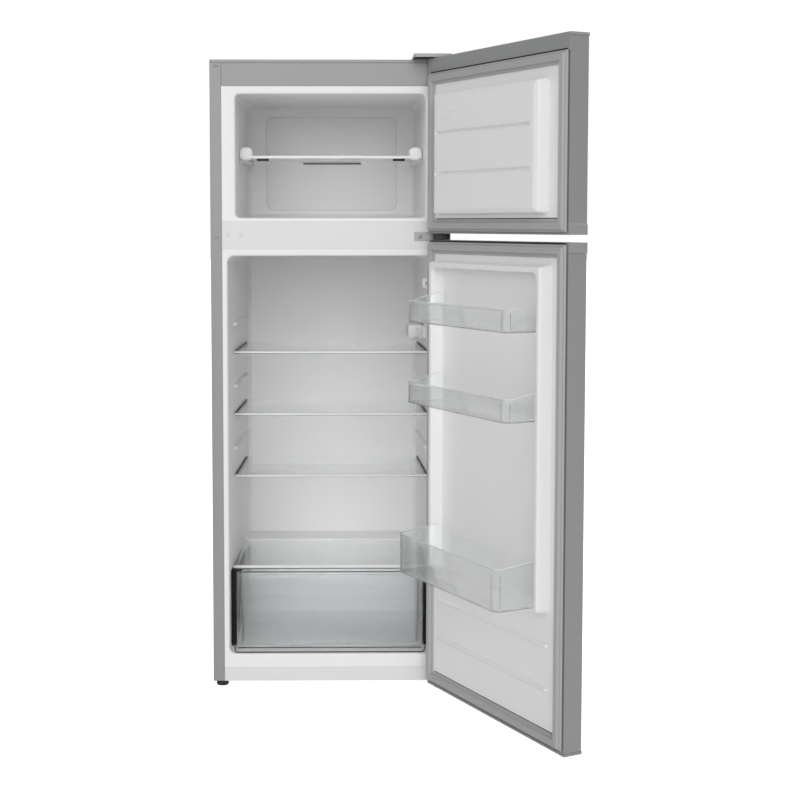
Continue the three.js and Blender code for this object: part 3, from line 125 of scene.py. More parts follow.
def rounded(
    x0: Numbers, x1: Numbers, y0: Numbers, y1: Numbers, radius: Numbers, arc: int = 6, side: int = 1
) -> np.ndarray:
    """Rectangles with round corners, all with the same number of points.

    Each corner's centre stands in from the corner by the radius, and its points go round that
    centre by a quarter turn. Straight sides are divided evenly.

    Args:
        x0: left edges, one number or one for each rectangle.
        x1: right edges.
        y0: lower edges.
        y1: upper edges.
        radius: corner radii, one number, one for each rectangle, or four for each rectangle.
        arc: steps round each corner.
        side: steps along each straight side.

    Returns:
        Points, as rectangles by corners by 2.
    """
    x0, x1, y0, y1 = np.broadcast_arrays(*(np.atleast_1d(np.asarray(v, float)) for v in (x0, x1, y0, y1)))
    r = np.asarray(radius, float)
    r = np.broadcast_to(r if r.ndim == 2 else np.atleast_1d(r)[:, None], (len(x0), 4))
    r = np.maximum(r, TINY)
    centre_x = np.stack((x1, x0, x0, x1), 1) + r * (-1, 1, 1, -1)
    centre_y = np.stack((y1, y1, y0, y0), 1) + r * (-1, -1, 1, 1)
    turn = (np.arange(4)[:, None] + np.linspace(0, 1, arc + 1)) * QUARTER
    points = np.stack(
        (
            centre_x[..., None] + r[..., None] * np.cos(turn),
            centre_y[..., None] + r[..., None] * np.sin(turn),
        ),
        -1,
    )
    start, end = points[:, :, -1], np.roll(points, -1, axis=1)[:, :, 0]
    along = (np.arange(1, side) / side)[:, None]
    between = start[:, :, None] + (end - start)[:, :, None] * along
    return np.concatenate((points, between), axis=2).reshape(len(x0), -1, 2)


def circles(radius: Numbers, segments: int = 24) -> np.ndarray:
    """Circles about the origin, as circles by points by 2."""
    turn = np.arange(segments) * (2 * math.pi / segments)
    return np.atleast_1d(np.asarray(radius, float))[:, None, None] * np.stack(
        (np.cos(turn), np.sin(turn)), -1
    )


def stack(rings: np.ndarray, levels: Numbers, axis: Axis) -> np.ndarray:
    """Flat outlines stood at their levels along an axis, as a grid of points."""
    level = np.broadcast_to(np.asarray(levels, float).reshape(len(rings), -1), rings.shape[:2])
    a, b = rings[..., 0], rings[..., 1]
    order = {Axis.X: (level, a, b), Axis.Y: (a, level, b), Axis.Z: (a, b, level)}
    return np.stack(order[axis], -1)


def slab(
    low: Corner, high: Corner, axis: Axis, corner: float, edge: float, arc: int = 5, steps: int = 3
) -> np.ndarray:
    """A block with round corners seen along the axis, and round edges at both ends.

    At an end, the outline stands in by edge x (1 - sin a) at the depth edge x (1 - cos a), for a
    from nothing to a quarter turn.

    Args:
        low: lowest corner.
        high: highest corner.
        axis: the axis it is seen along.
        corner: radius of the outline's corners.
        edge: radius of the end edges.
        arc: steps round each corner.
        steps: steps round each end edge.

    Returns:
        A grid of points to be capped at both ends.
    """
    low, high = np.array(low, float), np.array(high, float)
    level = axis.value
    a, b = [i for i in range(3) if i != level]
    turn = np.linspace(0, QUARTER, steps + 1)
    inset = edge * (1 - np.sin(turn))
    depth = edge * (1 - np.cos(turn))
    inset = np.concatenate((inset, inset[::-1]))
    levels = np.concatenate((low[level] + depth, high[level] - depth[::-1]))
    rings = rounded(low[a] + inset, high[a] - inset, low[b] + inset, high[b] - inset, corner - inset, arc)
    return stack(rings, levels, axis)


def lathe(
    profile: Numbers, centre: Corner, axis: Axis = Axis.Z, segments: int = 24,
    stretch: tuple[float, float] = (1.0, 1.0)
) -> np.ndarray:
    """A turned form: circles whose radius and level follow the profile.

    Args:
        profile: pairs of radius and level.
        centre: where level nothing stands on the axis.
        axis: the axis it is turned about.
        segments: points round each circle.
        stretch: scale of the circles along their two axes.

    Returns:
        A grid of points to be capped at both ends.
    """
    table = np.array(profile, float)
    rings = circles(np.maximum(table[:, 0], TINY), segments) * stretch
    return stack(rings, table[:, 1], axis) + np.array(centre)


def tube(
    path: np.ndarray, radius: Numbers, sides: int = 10, upward: Corner = (0.62, 0.48, 0.62)
) -> np.ndarray:
    """A round section carried along a path, square to it.

    The section's first axis is the upward direction less its part along the path, and the second
    is square to both.

    Args:
        path: points along the path.
        radius: one radius, or one for each point.
        sides: points round the section.
        upward: a direction that the path never runs along.

    Returns:
        A grid of points to be capped at both ends.
    """
    path = np.asarray(path, float)
    along = np.gradient(path, axis=0)
    along /= np.linalg.norm(along, axis=1, keepdims=True)
    first = np.array(upward) - (along @ np.array(upward))[:, None] * along
    first /= np.linalg.norm(first, axis=1, keepdims=True)
    second = np.cross(along, first)
    ring = circles(radius, sides)
    ring = np.broadcast_to(ring, (len(path), sides, 2))
    return path[:, None] + ring[..., :1] * first[:, None] + ring[..., 1:] * second[:, None]


def ease(value: np.ndarray) -> np.ndarray:
    """A smooth step from 0 to 1: 3 t squared less 2 t cubed, held at both ends."""
    t = np.clip(value, 0, 1)
    return t * t * (3 - 2 * t)


def dome(value: np.ndarray) -> np.ndarray:
    """A quarter circle from 0 to 1: steep where it leaves 0 and level where it meets 1."""
    return np.sqrt(1 - (1 - np.clip(value, 0, 1)) ** 2)


def inside(
    x: np.ndarray, z: np.ndarray, box: tuple[float, float, float, float], corner: float
) -> np.ndarray:
    """How far each point lies inside a rectangle with round corners, and below nothing outside it."""
    x0, x1, z0, z1 = box
    dx = np.abs(x - (x0 + x1) / 2) - (x1 - x0) / 2 + corner
    dz = np.abs(z - (z0 + z1) / 2) - (z1 - z0) / 2 + corner
    outside = np.hypot(np.maximum(dx, 0), np.maximum(dz, 0))
    return corner - outside - np.minimum(np.maximum(dx, dz), 0)


def lines(start: float, end: float, fine: float, coarse: float, marks: Numbers) -> np.ndarray:
    """Grid lines from start to end, close together near the marks and wide apart elsewhere."""
    even = np.arange(start, end, coarse)
    near = np.concatenate([np.arange(m - 8 * fine, m + 8.5 * fine, fine) for m in marks])
    every = np.unique(np.round(np.concatenate((even, near, (start, end))), 5))
    every = every[(every >= start) & (every <= end)]
    keep = np.concatenate(((True,), np.diff(every) > fine * 0.4))
    keep[-1] = True
    return every[keep]


class Shape:
    """Vertices and faces gathered from several surfaces, to be made into one mesh."""

    def __init__(self) -> None:
        """Starts with nothing in it."""
        self.points: list[np.ndarray] = []
        self.faces: list[list[int]] = []
        self.count = 0
        self.open = False

    def skin(self, grid: np.ndarray, closed: bool = False, caps: bool = True) -> "Shape":
        """Adds a grid of rings, each joined to the next.

        Args:
            grid: rings by points by 3. Each ring closes on itself.
            closed: whether the last ring joins the first.
            caps: whether an open row of rings is closed by a flat face at each end.

        Returns:
            The shape, for more to be added.
        """
        rings, across = grid.shape[:2]
        first = np.arange(rings if closed else rings - 1)[:, None]
        j = np.arange(across)[None, :]
        here, there = first * across, ((first + 1) % rings) * across
        after = (j + 1) % across
        quads = np.stack((here + j, here + after, there + after, there + j), -1).reshape(-1, 4)
        self.faces += (quads + self.count).tolist()
        if caps and not closed:
            self.faces.append((self.count + np.arange(across)[::-1]).tolist())
            self.faces.append((self.count + (rings - 1) * across + np.arange(across)).tolist())
        return self.gather(grid)

    def sheet(self, grid: np.ndarray) -> "Shape":
        """Adds an open sheet of rows by columns."""
        rows, columns = grid.shape[:2]
        i, j = np.arange(rows - 1)[:, None] * columns, np.arange(columns - 1)[None, :]
        quads = np.stack((i + j, i + j + 1, i + columns + j + 1, i + columns + j), -1).reshape(-1, 4)
        self.faces += (quads + self.count).tolist()
        self.open = True
        return self.gather(grid)

    def gather(self, grid: np.ndarray) -> "Shape":
        """Keeps a grid's points."""
        flat = grid.reshape(-1, 3)
        self.points.append(flat)
        self.count += len(flat)
        return self

    def mesh(self, name: str, placement: Placement) -> bpy.types.Mesh:
        """The gathered surfaces as one mesh in the frame, doubles merged and faces outwards.

        Args:
            name: name of the mesh.
            placement: the axes that the points are in.

        Returns:
            The mesh.
        """
        mesh = bpy.data.meshes.new(name)
        points = placement.out(np.concatenate(self.points))
        mesh.from_pydata(points.tolist(), [], self.faces)
        work = bmesh.new()
        work.from_mesh(mesh)
        bmesh.ops.remove_doubles(work, verts=work.verts, dist=MERGE)
        if not self.open:
            bmesh.ops.recalc_face_normals(work, faces=work.faces)
        work.to_mesh(mesh)
        work.free()
        return mesh


# ---------------------------------------------------------------------------------------- materials
class Graph:
    """A node tree with short ways to add nodes and join them."""

    def __init__(self, tree: bpy.types.NodeTree) -> None:
        """Works on the tree given."""
        self.tree = tree

    def add(self, kind: str, values: dict | None = None, **settings) -> bpy.types.Node:
        """Adds a node.

        Args:
            kind: the node's type name.
            values: what goes into each input, a number, a colour or another node's output.
            settings: the node's own settings.

        Returns:
            The node.
        """
        node = self.tree.nodes.new(kind)
        for key, value in settings.items():
            setattr(node, key, value)
        return self.feed(node, values or {})

    def feed(self, node: bpy.types.Node, values: dict) -> bpy.types.Node:
        """Gives a node's inputs their numbers and colours, or links them to other nodes' outputs."""
        for key, value in values.items():
            if isinstance(value, bpy.types.NodeSocket):
                self.tree.links.new(value, node.inputs[key])
            else:
                node.inputs[key].default_value = value
        return node

    def math(self, operation: str, a: Input, b: Input = 0.0, c: Input = 0.0) -> bpy.types.NodeSocket:
        """The result of an operation on up to three values."""
        return self.add("ShaderNodeMath", {0: a, 1: b, 2: c}, operation=operation).outputs[0]

    def noise(
        self, scale: Input, detail: float = 2.0, stretch: Corner = (1.0, 1.0, 1.0)
    ) -> bpy.types.NodeSocket:
        """Noise on the piece's own coordinates, from 0 to 1."""
        place = self.add("ShaderNodeTexCoord").outputs["Object"]
        if stretch != (1.0, 1.0, 1.0):
            place = self.add("ShaderNodeMapping", {"Vector": place, "Scale": stretch}).outputs["Vector"]
        return self.add(
            "ShaderNodeTexNoise", {"Vector": place, "Scale": scale, "Detail": detail}
        ).outputs["Fac"]

    def spread(self, value: Input, low: Input, high: Input) -> bpy.types.NodeSocket:
        """A value from 0 to 1 carried to the range from low to high."""
        return self.add(
            "ShaderNodeMapRange", {"Value": value, "To Min": low, "To Max": high}
        ).outputs["Result"]

    def shade(self, colour: Input, factor: Input) -> bpy.types.NodeSocket:
        """A colour made lighter or darker by a factor."""
        grey = self.add(
            "ShaderNodeCombineColor", {"Red": factor, "Green": factor, "Blue": factor}
        ).outputs[0]
        return self.blend(1.0, colour, grey, "MULTIPLY")

    def blend(self, factor: Input, a: Input, b: Input, kind: str = "MIX") -> bpy.types.NodeSocket:
        """Two colours mixed by a factor."""
        inputs = {0: factor, 6: a, 7: b}
        return self.add("ShaderNodeMix", inputs, data_type="RGBA", blend_type=kind).outputs[2]

    def around(self, middle: Input, spread: Input) -> tuple[bpy.types.NodeSocket, bpy.types.NodeSocket]:
        """Both ends of a range about its middle."""
        return self.math("SUBTRACT", middle, spread), self.math("ADD", middle, spread)


class Effect(Enum):
    """The shared shader effects, each built once as a node group."""

    TONE = "cloudy tone"
    PEEL = "paint peel"
    SMUDGE = "wiped smudges"
    DUST = "settled dust"
    FLAKE = "metal flake"
    SPANGLE = "zinc spangle"
    DRAWN = "drawn lines"
    # edge wear together with a painted edge highlight
    EDGE = "worn edges"


def sockets(tree: bpy.types.NodeTree, way: str, names: dict[str, str]) -> None:
    """Gives a node group its named inputs or outputs."""
    for name, kind in names.items():
        tree.interface.new_socket(name, in_out=way, socket_type=f"NodeSocket{kind}")


def tone(g: Graph, given: bpy.types.Node) -> dict:
    """A colour that drifts a little lighter and darker in soft clouds."""
    low, high = g.around(1.0, given.outputs["Spread"])
    return {
        "Color": g.shade(given.outputs["Color"], g.spread(g.noise(given.outputs["Scale"], 3), low, high))
    }


def peel(g: Graph, given: bpy.types.Node) -> dict:
    """The fine rolling surface of sprayed paint and moulded plastic, as a height."""
    coarse = g.noise(given.outputs["Scale"], 1)
    fine = g.noise(g.math("MULTIPLY", given.outputs["Scale"], 4.3), 2)
    both = g.math("MULTIPLY_ADD", fine, 0.35, coarse)
    return {"Height": g.math("MULTIPLY", both, given.outputs["Depth"])}


def smudge(g: Graph, given: bpy.types.Node) -> dict:
    """A roughness that varies where hands and cloths have wiped over it."""
    wide = g.noise(given.outputs["Scale"], 4, (1.0, 1.0, 0.45))
    wipe = g.noise(g.math("MULTIPLY", given.outputs["Scale"], 6.0), 3, (0.3, 1.0, 2.0))
    both = g.math("MULTIPLY_ADD", wipe, 0.4, g.math("MULTIPLY", wide, 0.6))
    low, high = g.around(given.outputs["Roughness"], given.outputs["Spread"])
    return {"Roughness": g.math("MAXIMUM", g.spread(both, low, high), 0.02)}


def dust(g: Graph, given: bpy.types.Node) -> dict:
    """Fine dust that lies on faces that look up."""
    normal = g.add("ShaderNodeNewGeometry").outputs["Normal"]
    up = g.add("ShaderNodeSeparateXYZ", {"Vector": normal}).outputs["Z"]
    lying = g.add("ShaderNodeMapRange", {"Value": up, "From Min": 0.4, "From Max": 1.0}).outputs["Result"]
    patch = g.spread(g.noise(38.0, 5), 0.3, 1.0)
    mask = g.math("MULTIPLY", g.math("MULTIPLY", lying, patch), given.outputs["Amount"])
    return {
        "Color": g.blend(mask, given.outputs["Color"], (0.55, 0.53, 0.5, 1.0)),
        "Roughness": g.math("MULTIPLY_ADD", mask, 0.4, given.outputs["Roughness"]),
    }


def flake(g: Graph, given: bpy.types.Node) -> dict:
    """Small cells, each with its own tone and gloss: flakes in paint or zinc crystals."""
    place = g.add("ShaderNodeTexCoord").outputs["Object"]
    cells = g.add("ShaderNodeTexVoronoi", {"Vector": place, "Scale": given.outputs["Scale"]})
    one = g.add("ShaderNodeSeparateColor", {"Color": cells.outputs["Color"]})
    low, high = g.around(1.0, given.outputs["Spread"])
    rough = g.math(
        "MULTIPLY_ADD", one.outputs["Green"], given.outputs["Spread"], given.outputs["Roughness"]
    )
    return {
        "Color": g.shade(given.outputs["Color"], g.spread(one.outputs["Red"], low, high)),
        "Roughness": rough
    }


def drawn(g: Graph, given: bpy.types.Node) -> dict:
    """Fine lines left by drawing or brushing, as a tone and a roughness."""
    line = g.noise(given.outputs["Scale"], 2, (0.02, 1.0, 1.0))
    low, high = g.around(1.0, given.outputs["Spread"])
    rough = g.math("MULTIPLY_ADD", line, given.outputs["Spread"], given.outputs["Roughness"])
    return {"Color": g.shade(given.outputs["Color"], g.spread(line, low, high)), "Roughness": rough}


def edge(g: Graph, given: bpy.types.Node) -> dict:
    """Edge wear and a painted edge highlight: a paler, rougher colour along sharp edges, broken up by
    noise.
    """
    sharp = g.add("ShaderNodeNewGeometry").outputs["Pointiness"]
    rim = g.add(
        "ShaderNodeMapRange", {"Value": sharp, "From Min": 0.52, "From Max": 0.62}
    ).outputs["Result"]
    mask = g.math("MULTIPLY", g.math("MULTIPLY", rim, g.noise(90.0, 4)), given.outputs["Amount"])
    return {
        "Color": g.blend(mask, given.outputs["Color"], given.outputs["Edge Colour"]),
        "Roughness": g.math("MULTIPLY_ADD", mask, 0.2, given.outputs["Roughness"]),
    }


LOOK = {"Color": "Color", "Roughness": "Float"}
SPREAD = {"Spread": "Float", "Scale": "Float"}
EFFECTS: dict[Effect, tuple[Callable, dict[str, str], dict[str, str]]] = {
    Effect.TONE: (tone, {"Color": "Color", **SPREAD}, {"Color": "Color"}),
    Effect.PEEL: (peel, {"Scale": "Float", "Depth": "Float"}, {"Height": "Float"}),
    Effect.SMUDGE: (smudge, {"Roughness": "Float", **SPREAD}, {"Roughness": "Float"}),
    Effect.DUST: (dust, {**LOOK, "Amount": "Float"}, LOOK),
    Effect.FLAKE: (flake, {**LOOK, **SPREAD}, LOOK),
    Effect.SPANGLE: (flake, {**LOOK, **SPREAD}, LOOK),
    Effect.DRAWN: (drawn, {**LOOK, **SPREAD}, LOOK),
    Effect.EDGE: (edge, {**LOOK, "Amount": "Float", "Edge Colour": "Color"}, LOOK),
}


def effect_group(effect: Effect) -> bpy.types.NodeTree:
    """The node group of an effect, built the first time that it is asked for."""
    found = bpy.data.node_groups.get(effect.value)
    if found:
        return found
    build, inputs, outputs = EFFECTS[effect]
    tree = bpy.data.node_groups.new(effect.value, "ShaderNodeTree")
    sockets(tree, "INPUT", inputs)
    sockets(tree, "OUTPUT", outputs)
    graph = Graph(tree)
    results = build(graph, graph.add("NodeGroupInput"))
    graph.add("NodeGroupOutput", results)
    return tree


@dataclass(frozen=True)
class Finish:
    """A procedural finish.

    Attributes:
        name: name of the material.
        slot: the record's slot that it stands for; not used.
        colour: base colour, linear.
        roughness: base roughness.
        metallic: 0 for plastic, 1 for bare metal.
        ior: index of refraction.
        coat: weight of the clear coat.
        transmission: weight of light that passes through.
        tones: spread and scale of the cloudy tone.
        peeling: scale and depth in metres of the surface's fine relief.
        smudges: spread and scale of the wiped roughness.
        dusty: amount of settled dust.
        wear_and_highlight: amount of edge wear and painted edge highlight.
        under: colour that sharp edges turn, for edge wear and a painted edge highlight.
        pattern: a further effect with its spread and scale.
        opacity: share of the light that the surface meets at all; the rest goes straight on.
        shade_cast: the same share for light on its way from a lamp.
    """

    name: str
    slot: str
    colour: Colour
    roughness: float = 0.4
    metallic: float = 0.0
    ior: float = 1.5
    coat: float = 0.0
    transmission: float = 0.0
    tones: tuple[float, float] = (0.02, 5.0)
    peeling: tuple[float, float] = (600.0, 8e-6)
    smudges: tuple[float, float] = (0.06, 7.0)
    dusty: float = 0.0
    wear_and_highlight: float = 0.0
    under: Colour = (0.6, 0.6, 0.6)
    pattern: tuple[Effect, float, float] | None = None
    opacity: float = 1.0
    shade_cast: float = 0.05

    def material(self) -> bpy.types.Material:
        """The finish's material, made the first time that it is asked for."""
        return bpy.data.materials.get(self.name) or self.make()

    def make(self) -> bpy.types.Material:
        """Builds the node tree: tone, pattern, smudges, dust, and wear with a painted edge highlight feed
        one Principled shader.
        """
        material = bpy.data.materials.new(self.name)
        material.use_nodes = True
        graph = Graph(material.node_tree)
        shader = material.node_tree.nodes["Principled BSDF"]

        def put(effect: Effect, values: dict) -> bpy.types.Node:
            """Places one effect's group in the tree."""
            return graph.add("ShaderNodeGroup", values, node_tree=effect_group(effect))

        cloud = put(
            Effect.TONE, {"Color": (*self.colour, 1.0), "Spread": self.tones[0], "Scale": self.tones[1]}
        )
        wipe = put(
            Effect.SMUDGE,
            {"Roughness": self.roughness, "Spread": self.smudges[0], "Scale": self.smudges[1]}
        )
        colour, rough = cloud.outputs["Color"], wipe.outputs["Roughness"]
        if self.pattern:
            effect, spread, scale = self.pattern
            node = put(effect, {"Color": colour, "Roughness": rough, "Spread": spread, "Scale": scale})
            colour, rough = node.outputs["Color"], node.outputs["Roughness"]
        if self.dusty:
            node = put(Effect.DUST, {"Color": colour, "Roughness": rough, "Amount": self.dusty})
            colour, rough = node.outputs["Color"], node.outputs["Roughness"]
        # Edge wear and a painted edge highlight: sharp edges are blended towards the under colour.
        if self.wear_and_highlight:
            node = put(
                Effect.EDGE,
                {"Color": colour, "Roughness": rough, "Amount": self.wear_and_highlight, "Edge Colour": (*self.under, 1.0)},
            )
            colour, rough = node.outputs["Color"], node.outputs["Roughness"]
        relief = put(Effect.PEEL, {"Scale": self.peeling[0], "Depth": self.peeling[1]})
        bump = graph.add(
            "ShaderNodeBump", {"Height": relief.outputs["Height"], "Strength": 1.0, "Distance": 1.0}
        )
        graph.feed(
            shader,
            {
                "Base Color": colour,
                "Roughness": rough,
                "Normal": bump.outputs["Normal"],
                "Metallic": self.metallic,
                "IOR": self.ior,
                "Coat Weight": self.coat,
                "Coat Roughness": COAT_ROUGHNESS,
                "Transmission Weight": self.transmission,
            },
        )
        if self.opacity < 1:
            shadow = graph.add("ShaderNodeLightPath").outputs["Is Shadow Ray"]
            graph.feed(shader, {"Alpha": graph.spread(shadow, self.opacity, self.shade_cast)})
        return material


CABINET_PAINT = Finish(
    "silver cabinet paint", "cabinet_silver", (0.3, 0.305, 0.303), 0.42, 0.2, coat=0.15,
    peeling=(420.0, 3e-6), pattern=(Effect.FLAKE, 0.04, 1900.0), smudges=(0.03, 7.0), dusty=0.03, wear_and_highlight=0.08,
)
DOOR_PAINT = Finish(
    "silver door paint", "door_silver", (0.3, 0.305, 0.303), 0.38, 0.25, coat=0.25,
    peeling=(380.0, 3e-6), pattern=(Effect.FLAKE, 0.05, 2100.0), smudges=(0.03, 7.0), wear_and_highlight=0.08,
)
CAP_GREY = Finish(
    "grey door cap", "cap_grey", (0.29, 0.295, 0.295), 0.45, peeling=(900.0, 6e-6), wear_and_highlight=0.1, dusty=0.03
)
LINER_WHITE = Finish(
    "white liner", "liner_white", (0.865, 0.87, 0.865), 0.36, tones=(0.008, 2.0),
    peeling=(120.0, 8e-7), smudges=(0.02, 3.0),
)
BAR_WHITE = Finish(
    "white front bar", "bar_white", (0.76, 0.765, 0.76), 0.4, tones=(0.008, 2.0), peeling=(500.0, 2e-6),
    smudges=(0.03, 4.0), wear_and_highlight=0.03,
)
GASKET = Finish(
    "grey gasket", "gasket_grey", (0.42, 0.425, 0.425), 0.6, ior=1.45, peeling=(1100.0, 6e-7),
    tones=(0.015, 12.0), smudges=(0.03, 12.0),
)
CLEAR = Finish(
    "clear moulded plastic", "clear_plastic", (0.975, 0.985, 0.99), 0.04, ior=1.45, transmission=1.0,
    tones=(0.004, 6.0), peeling=(60.0, 4e-6), smudges=(0.015, 9.0), opacity=0.6,
)
GLASS = Finish(
    "shelf glass", "shelf_glass", (0.955, 0.98, 0.975), 0.02, transmission=1.0,
    tones=(0.004, 4.0), peeling=(30.0, 2e-6), smudges=(0.01, 8.0), opacity=0.5,
)
# Dark finish for thin strips; most of them are painted shade: shadow gaps and dark glass edges.
DARK_STRIP_AND_SHADE = Finish(
    "dark strip and painted shade", "shelf_glass", (0.02, 0.021, 0.022), 0.55, ior=1.3, peeling=(700.0, 5e-6),
    smudges=(0.05, 20.0)
)
RUNNER = Finish(
    "black runner plastic", "black_plastic", (0.008, 0.008, 0.0085), 0.7, ior=1.3, peeling=(900.0, 5e-6),
    smudges=(0.05, 20.0),
)
# Painted highlight and painted shade: pale and dark lines on the clear bins' rims, feet and corners.
PAINTED_HIGHLIGHT_BEAD = Finish(
    "painted highlight bead", "clear_plastic", (0.82, 0.84, 0.85), 0.2, peeling=(90.0, 2e-6),
    smudges=(0.02, 9.0), opacity=0.75,
)
PAINTED_SHADE_BEAD = Finish(
    "painted shade bead", "clear_plastic", (0.2, 0.21, 0.22), 0.25, peeling=(90.0, 2e-6),
    smudges=(0.02, 9.0), opacity=0.65,
)
WHITE_KNOB = Finish(
    "white knob", "grey_plastic", (0.74, 0.745, 0.74), 0.4, peeling=(900.0, 3e-6), smudges=(0.03, 15.0),
    wear_and_highlight=0.05
)
GALVANISED = Finish(
    "galvanised steel", "galvanised", (0.52, 0.53, 0.54), 0.38, 0.9, peeling=(900.0, 6e-6),
    pattern=(Effect.SPANGLE, 0.12, 130.0), dusty=0.12,
)
HINGE_STEEL = Finish(
    "plated hinge steel", "galvanised", (0.36, 0.36, 0.36), 0.42, 0.6, peeling=(1200.0, 6e-6),
    pattern=(Effect.DRAWN, 0.08, 900.0), wear_and_highlight=0.2,
)
BLACK_PAINT = Finish(
    "black machine paint", "black_paint", (0.012, 0.012, 0.013), 0.3, coat=0.3, peeling=(300.0, 2.2e-5),
    dusty=0.25, wear_and_highlight=0.4, under=(0.12, 0.12, 0.12),
)
BLACK_PLASTIC = Finish(
    "black plastic", "black_plastic", (0.016, 0.016, 0.017), 0.4, peeling=(1300.0, 2e-5), dusty=0.1,
    wear_and_highlight=0.35, under=(0.08, 0.08, 0.08),
)
RUBBER = Finish(
    "black rubber", "black_rubber", (0.02, 0.02, 0.021), 0.7, peeling=(1500.0, 2.5e-5), dusty=0.2,
    tones=(0.15, 60.0),
)
COPPER = Finish(
    "copper tube", "copper", (0.75, 0.33, 0.19), 0.32, 0.95, pattern=(Effect.DRAWN, 0.14, 700.0),
    tones=(0.12, 40.0), dusty=0.1,
)
GREY_PLASTIC = Finish(
    "light grey plastic", "grey_plastic", (0.42, 0.425, 0.43), 0.45, peeling=(1000.0, 1.4e-5), wear_and_highlight=0.1
)
FOAM = Finish("insulating foam", "foam", (0.62, 0.52, 0.3), 0.9, peeling=(500.0, 3e-4), tones=(0.1, 40.0))


# -------------------------------------------------------------------------------------- assembly
@dataclass
class Assembly:
    """Ways that every sub-assembly uses to place, dress and report its pieces.

    Attributes:
        body: the body that its pieces ride on.
        placement: the axes that its shapes are in.
    """

    body: str = "cabinet"
    placement: Placement = STILL

    def finish(
        self, name: str, mesh: bpy.types.Mesh, look: Finish, stands_for: tuple[str, ...], body: str,
        bevel: float, wall: float = 0.0, crease: float = 34.0, segments: int = 3,
    ) -> bpy.types.Object:
        """Makes a mesh a piece: dressed, smoothed, riding on its body and reported.

        Args:
            name: name of the piece.
            mesh: its mesh, already in the frame.
            look: its finish.
            stands_for: the CAD nodes that it replaces.
            body: the body that it rides on.
            bevel: width of the rounding on its sharp edges, or 0.
            wall: thickness that an open sheet is given, or 0.
            crease: angle in degrees past which an edge stays sharp.
            segments: steps round each bevel.

        Returns:
            The piece.
        """
        piece = bpy.data.objects.new(name, mesh)
        bpy.context.scene.collection.objects.link(piece)
        mesh.materials.clear()
        mesh.materials.append(look.material())
        mesh.shade_smooth()
        mesh.set_sharp_from_angle(angle=math.radians(crease))
        if wall:
            solid = piece.modifiers.new("wall", "SOLIDIFY")
            solid.thickness, solid.offset = wall, -1.0
        if bevel:
            round_off = piece.modifiers.new("edges", "BEVEL")
            round_off.width, round_off.segments = bevel, segments
            round_off.limit_method, round_off.angle_limit = "ANGLE", math.radians(crease)
            round_off.harden_normals = True
        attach(piece, body)
        if stands_for:
            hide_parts(*stands_for)
        LOG.info("%s: %d faces on %s", name, len(mesh.polygons), body)
        return piece

    def put(
        self, name: str, shape: Shape, look: Finish, *stands_for: str, body: str | None = None,
        bevel: float = 0.0, wall: float = 0.0, crease: float = 34.0,
    ) -> bpy.types.Object:
        """Finishes a gathered shape as a piece of this sub-assembly."""
        mesh = shape.mesh(name, self.placement)
        return self.finish(name, mesh, look, stands_for, body or self.body, bevel, wall, crease)

    def refine(
        self, node: str, name: str, look: Finish, bevel: float, body: str | None = None, segments: int = 3
    ) -> bpy.types.Object:
        """A CAD node's form with its flat faces made whole and its edges rounded.

        Args:
            node: the CAD node.
            name: name of the piece that stands for it.
            look: its finish.
            bevel: width of the rounding.
            body: the body that it rides on, if not the sub-assembly's.
            segments: steps round each bevel.

        Returns:
            The piece.
        """
        mesh = frame["nodes"][node].data.copy()
        mesh.name = name
        work = bmesh.new()
        work.from_mesh(mesh)
        bmesh.ops.remove_doubles(work, verts=work.verts, dist=MERGE)
        bmesh.ops.dissolve_limit(
            work, angle_limit=math.radians(1.0), verts=work.verts, edges=work.edges,
            use_dissolve_boundaries=False
        )
        work.to_mesh(mesh)
        work.free()
        return self.finish(name, mesh, look, (node,), body or self.body, bevel, segments=segments)


@dataclass(frozen=True)
class Screw:
    """A round-headed screw with a cross recess."""

    radius: float = 0.0045
    height: float = 0.002
    recess: float = 0.0012

    def surface(self, centre: Corner, axis: Axis, way: float) -> np.ndarray:
        """The head as rings from the rim to the middle.

        The head's height is a flat dome, less the recess where a point is near either arm of the
        cross and not near the rim.

        Args:
            centre: middle of the head's underside.
            axis: the axis that it stands on.
            way: 1 or -1, the way that it faces along the axis.

        Returns:
            A grid of points to be capped at both ends.
        """
        share = np.concatenate(((1.0, 1.0), np.linspace(0.97, 0.02, 14)))
        rings = circles(share * self.radius, 32)
        arm = np.minimum(np.abs(rings[..., 0]), np.abs(rings[..., 1]))
        cross = ease((self.radius * 0.2 - arm) / (self.radius * 0.1)) * ease((0.66 - share)[:, None] / 0.12)
        height = self.height * (0.55 + 0.45 * np.sqrt(1 - share**2 * 0.98))[:, None] - self.recess * cross
        height[0] = 0.0
        return stack(rings, height * way, axis) + np.array(centre)


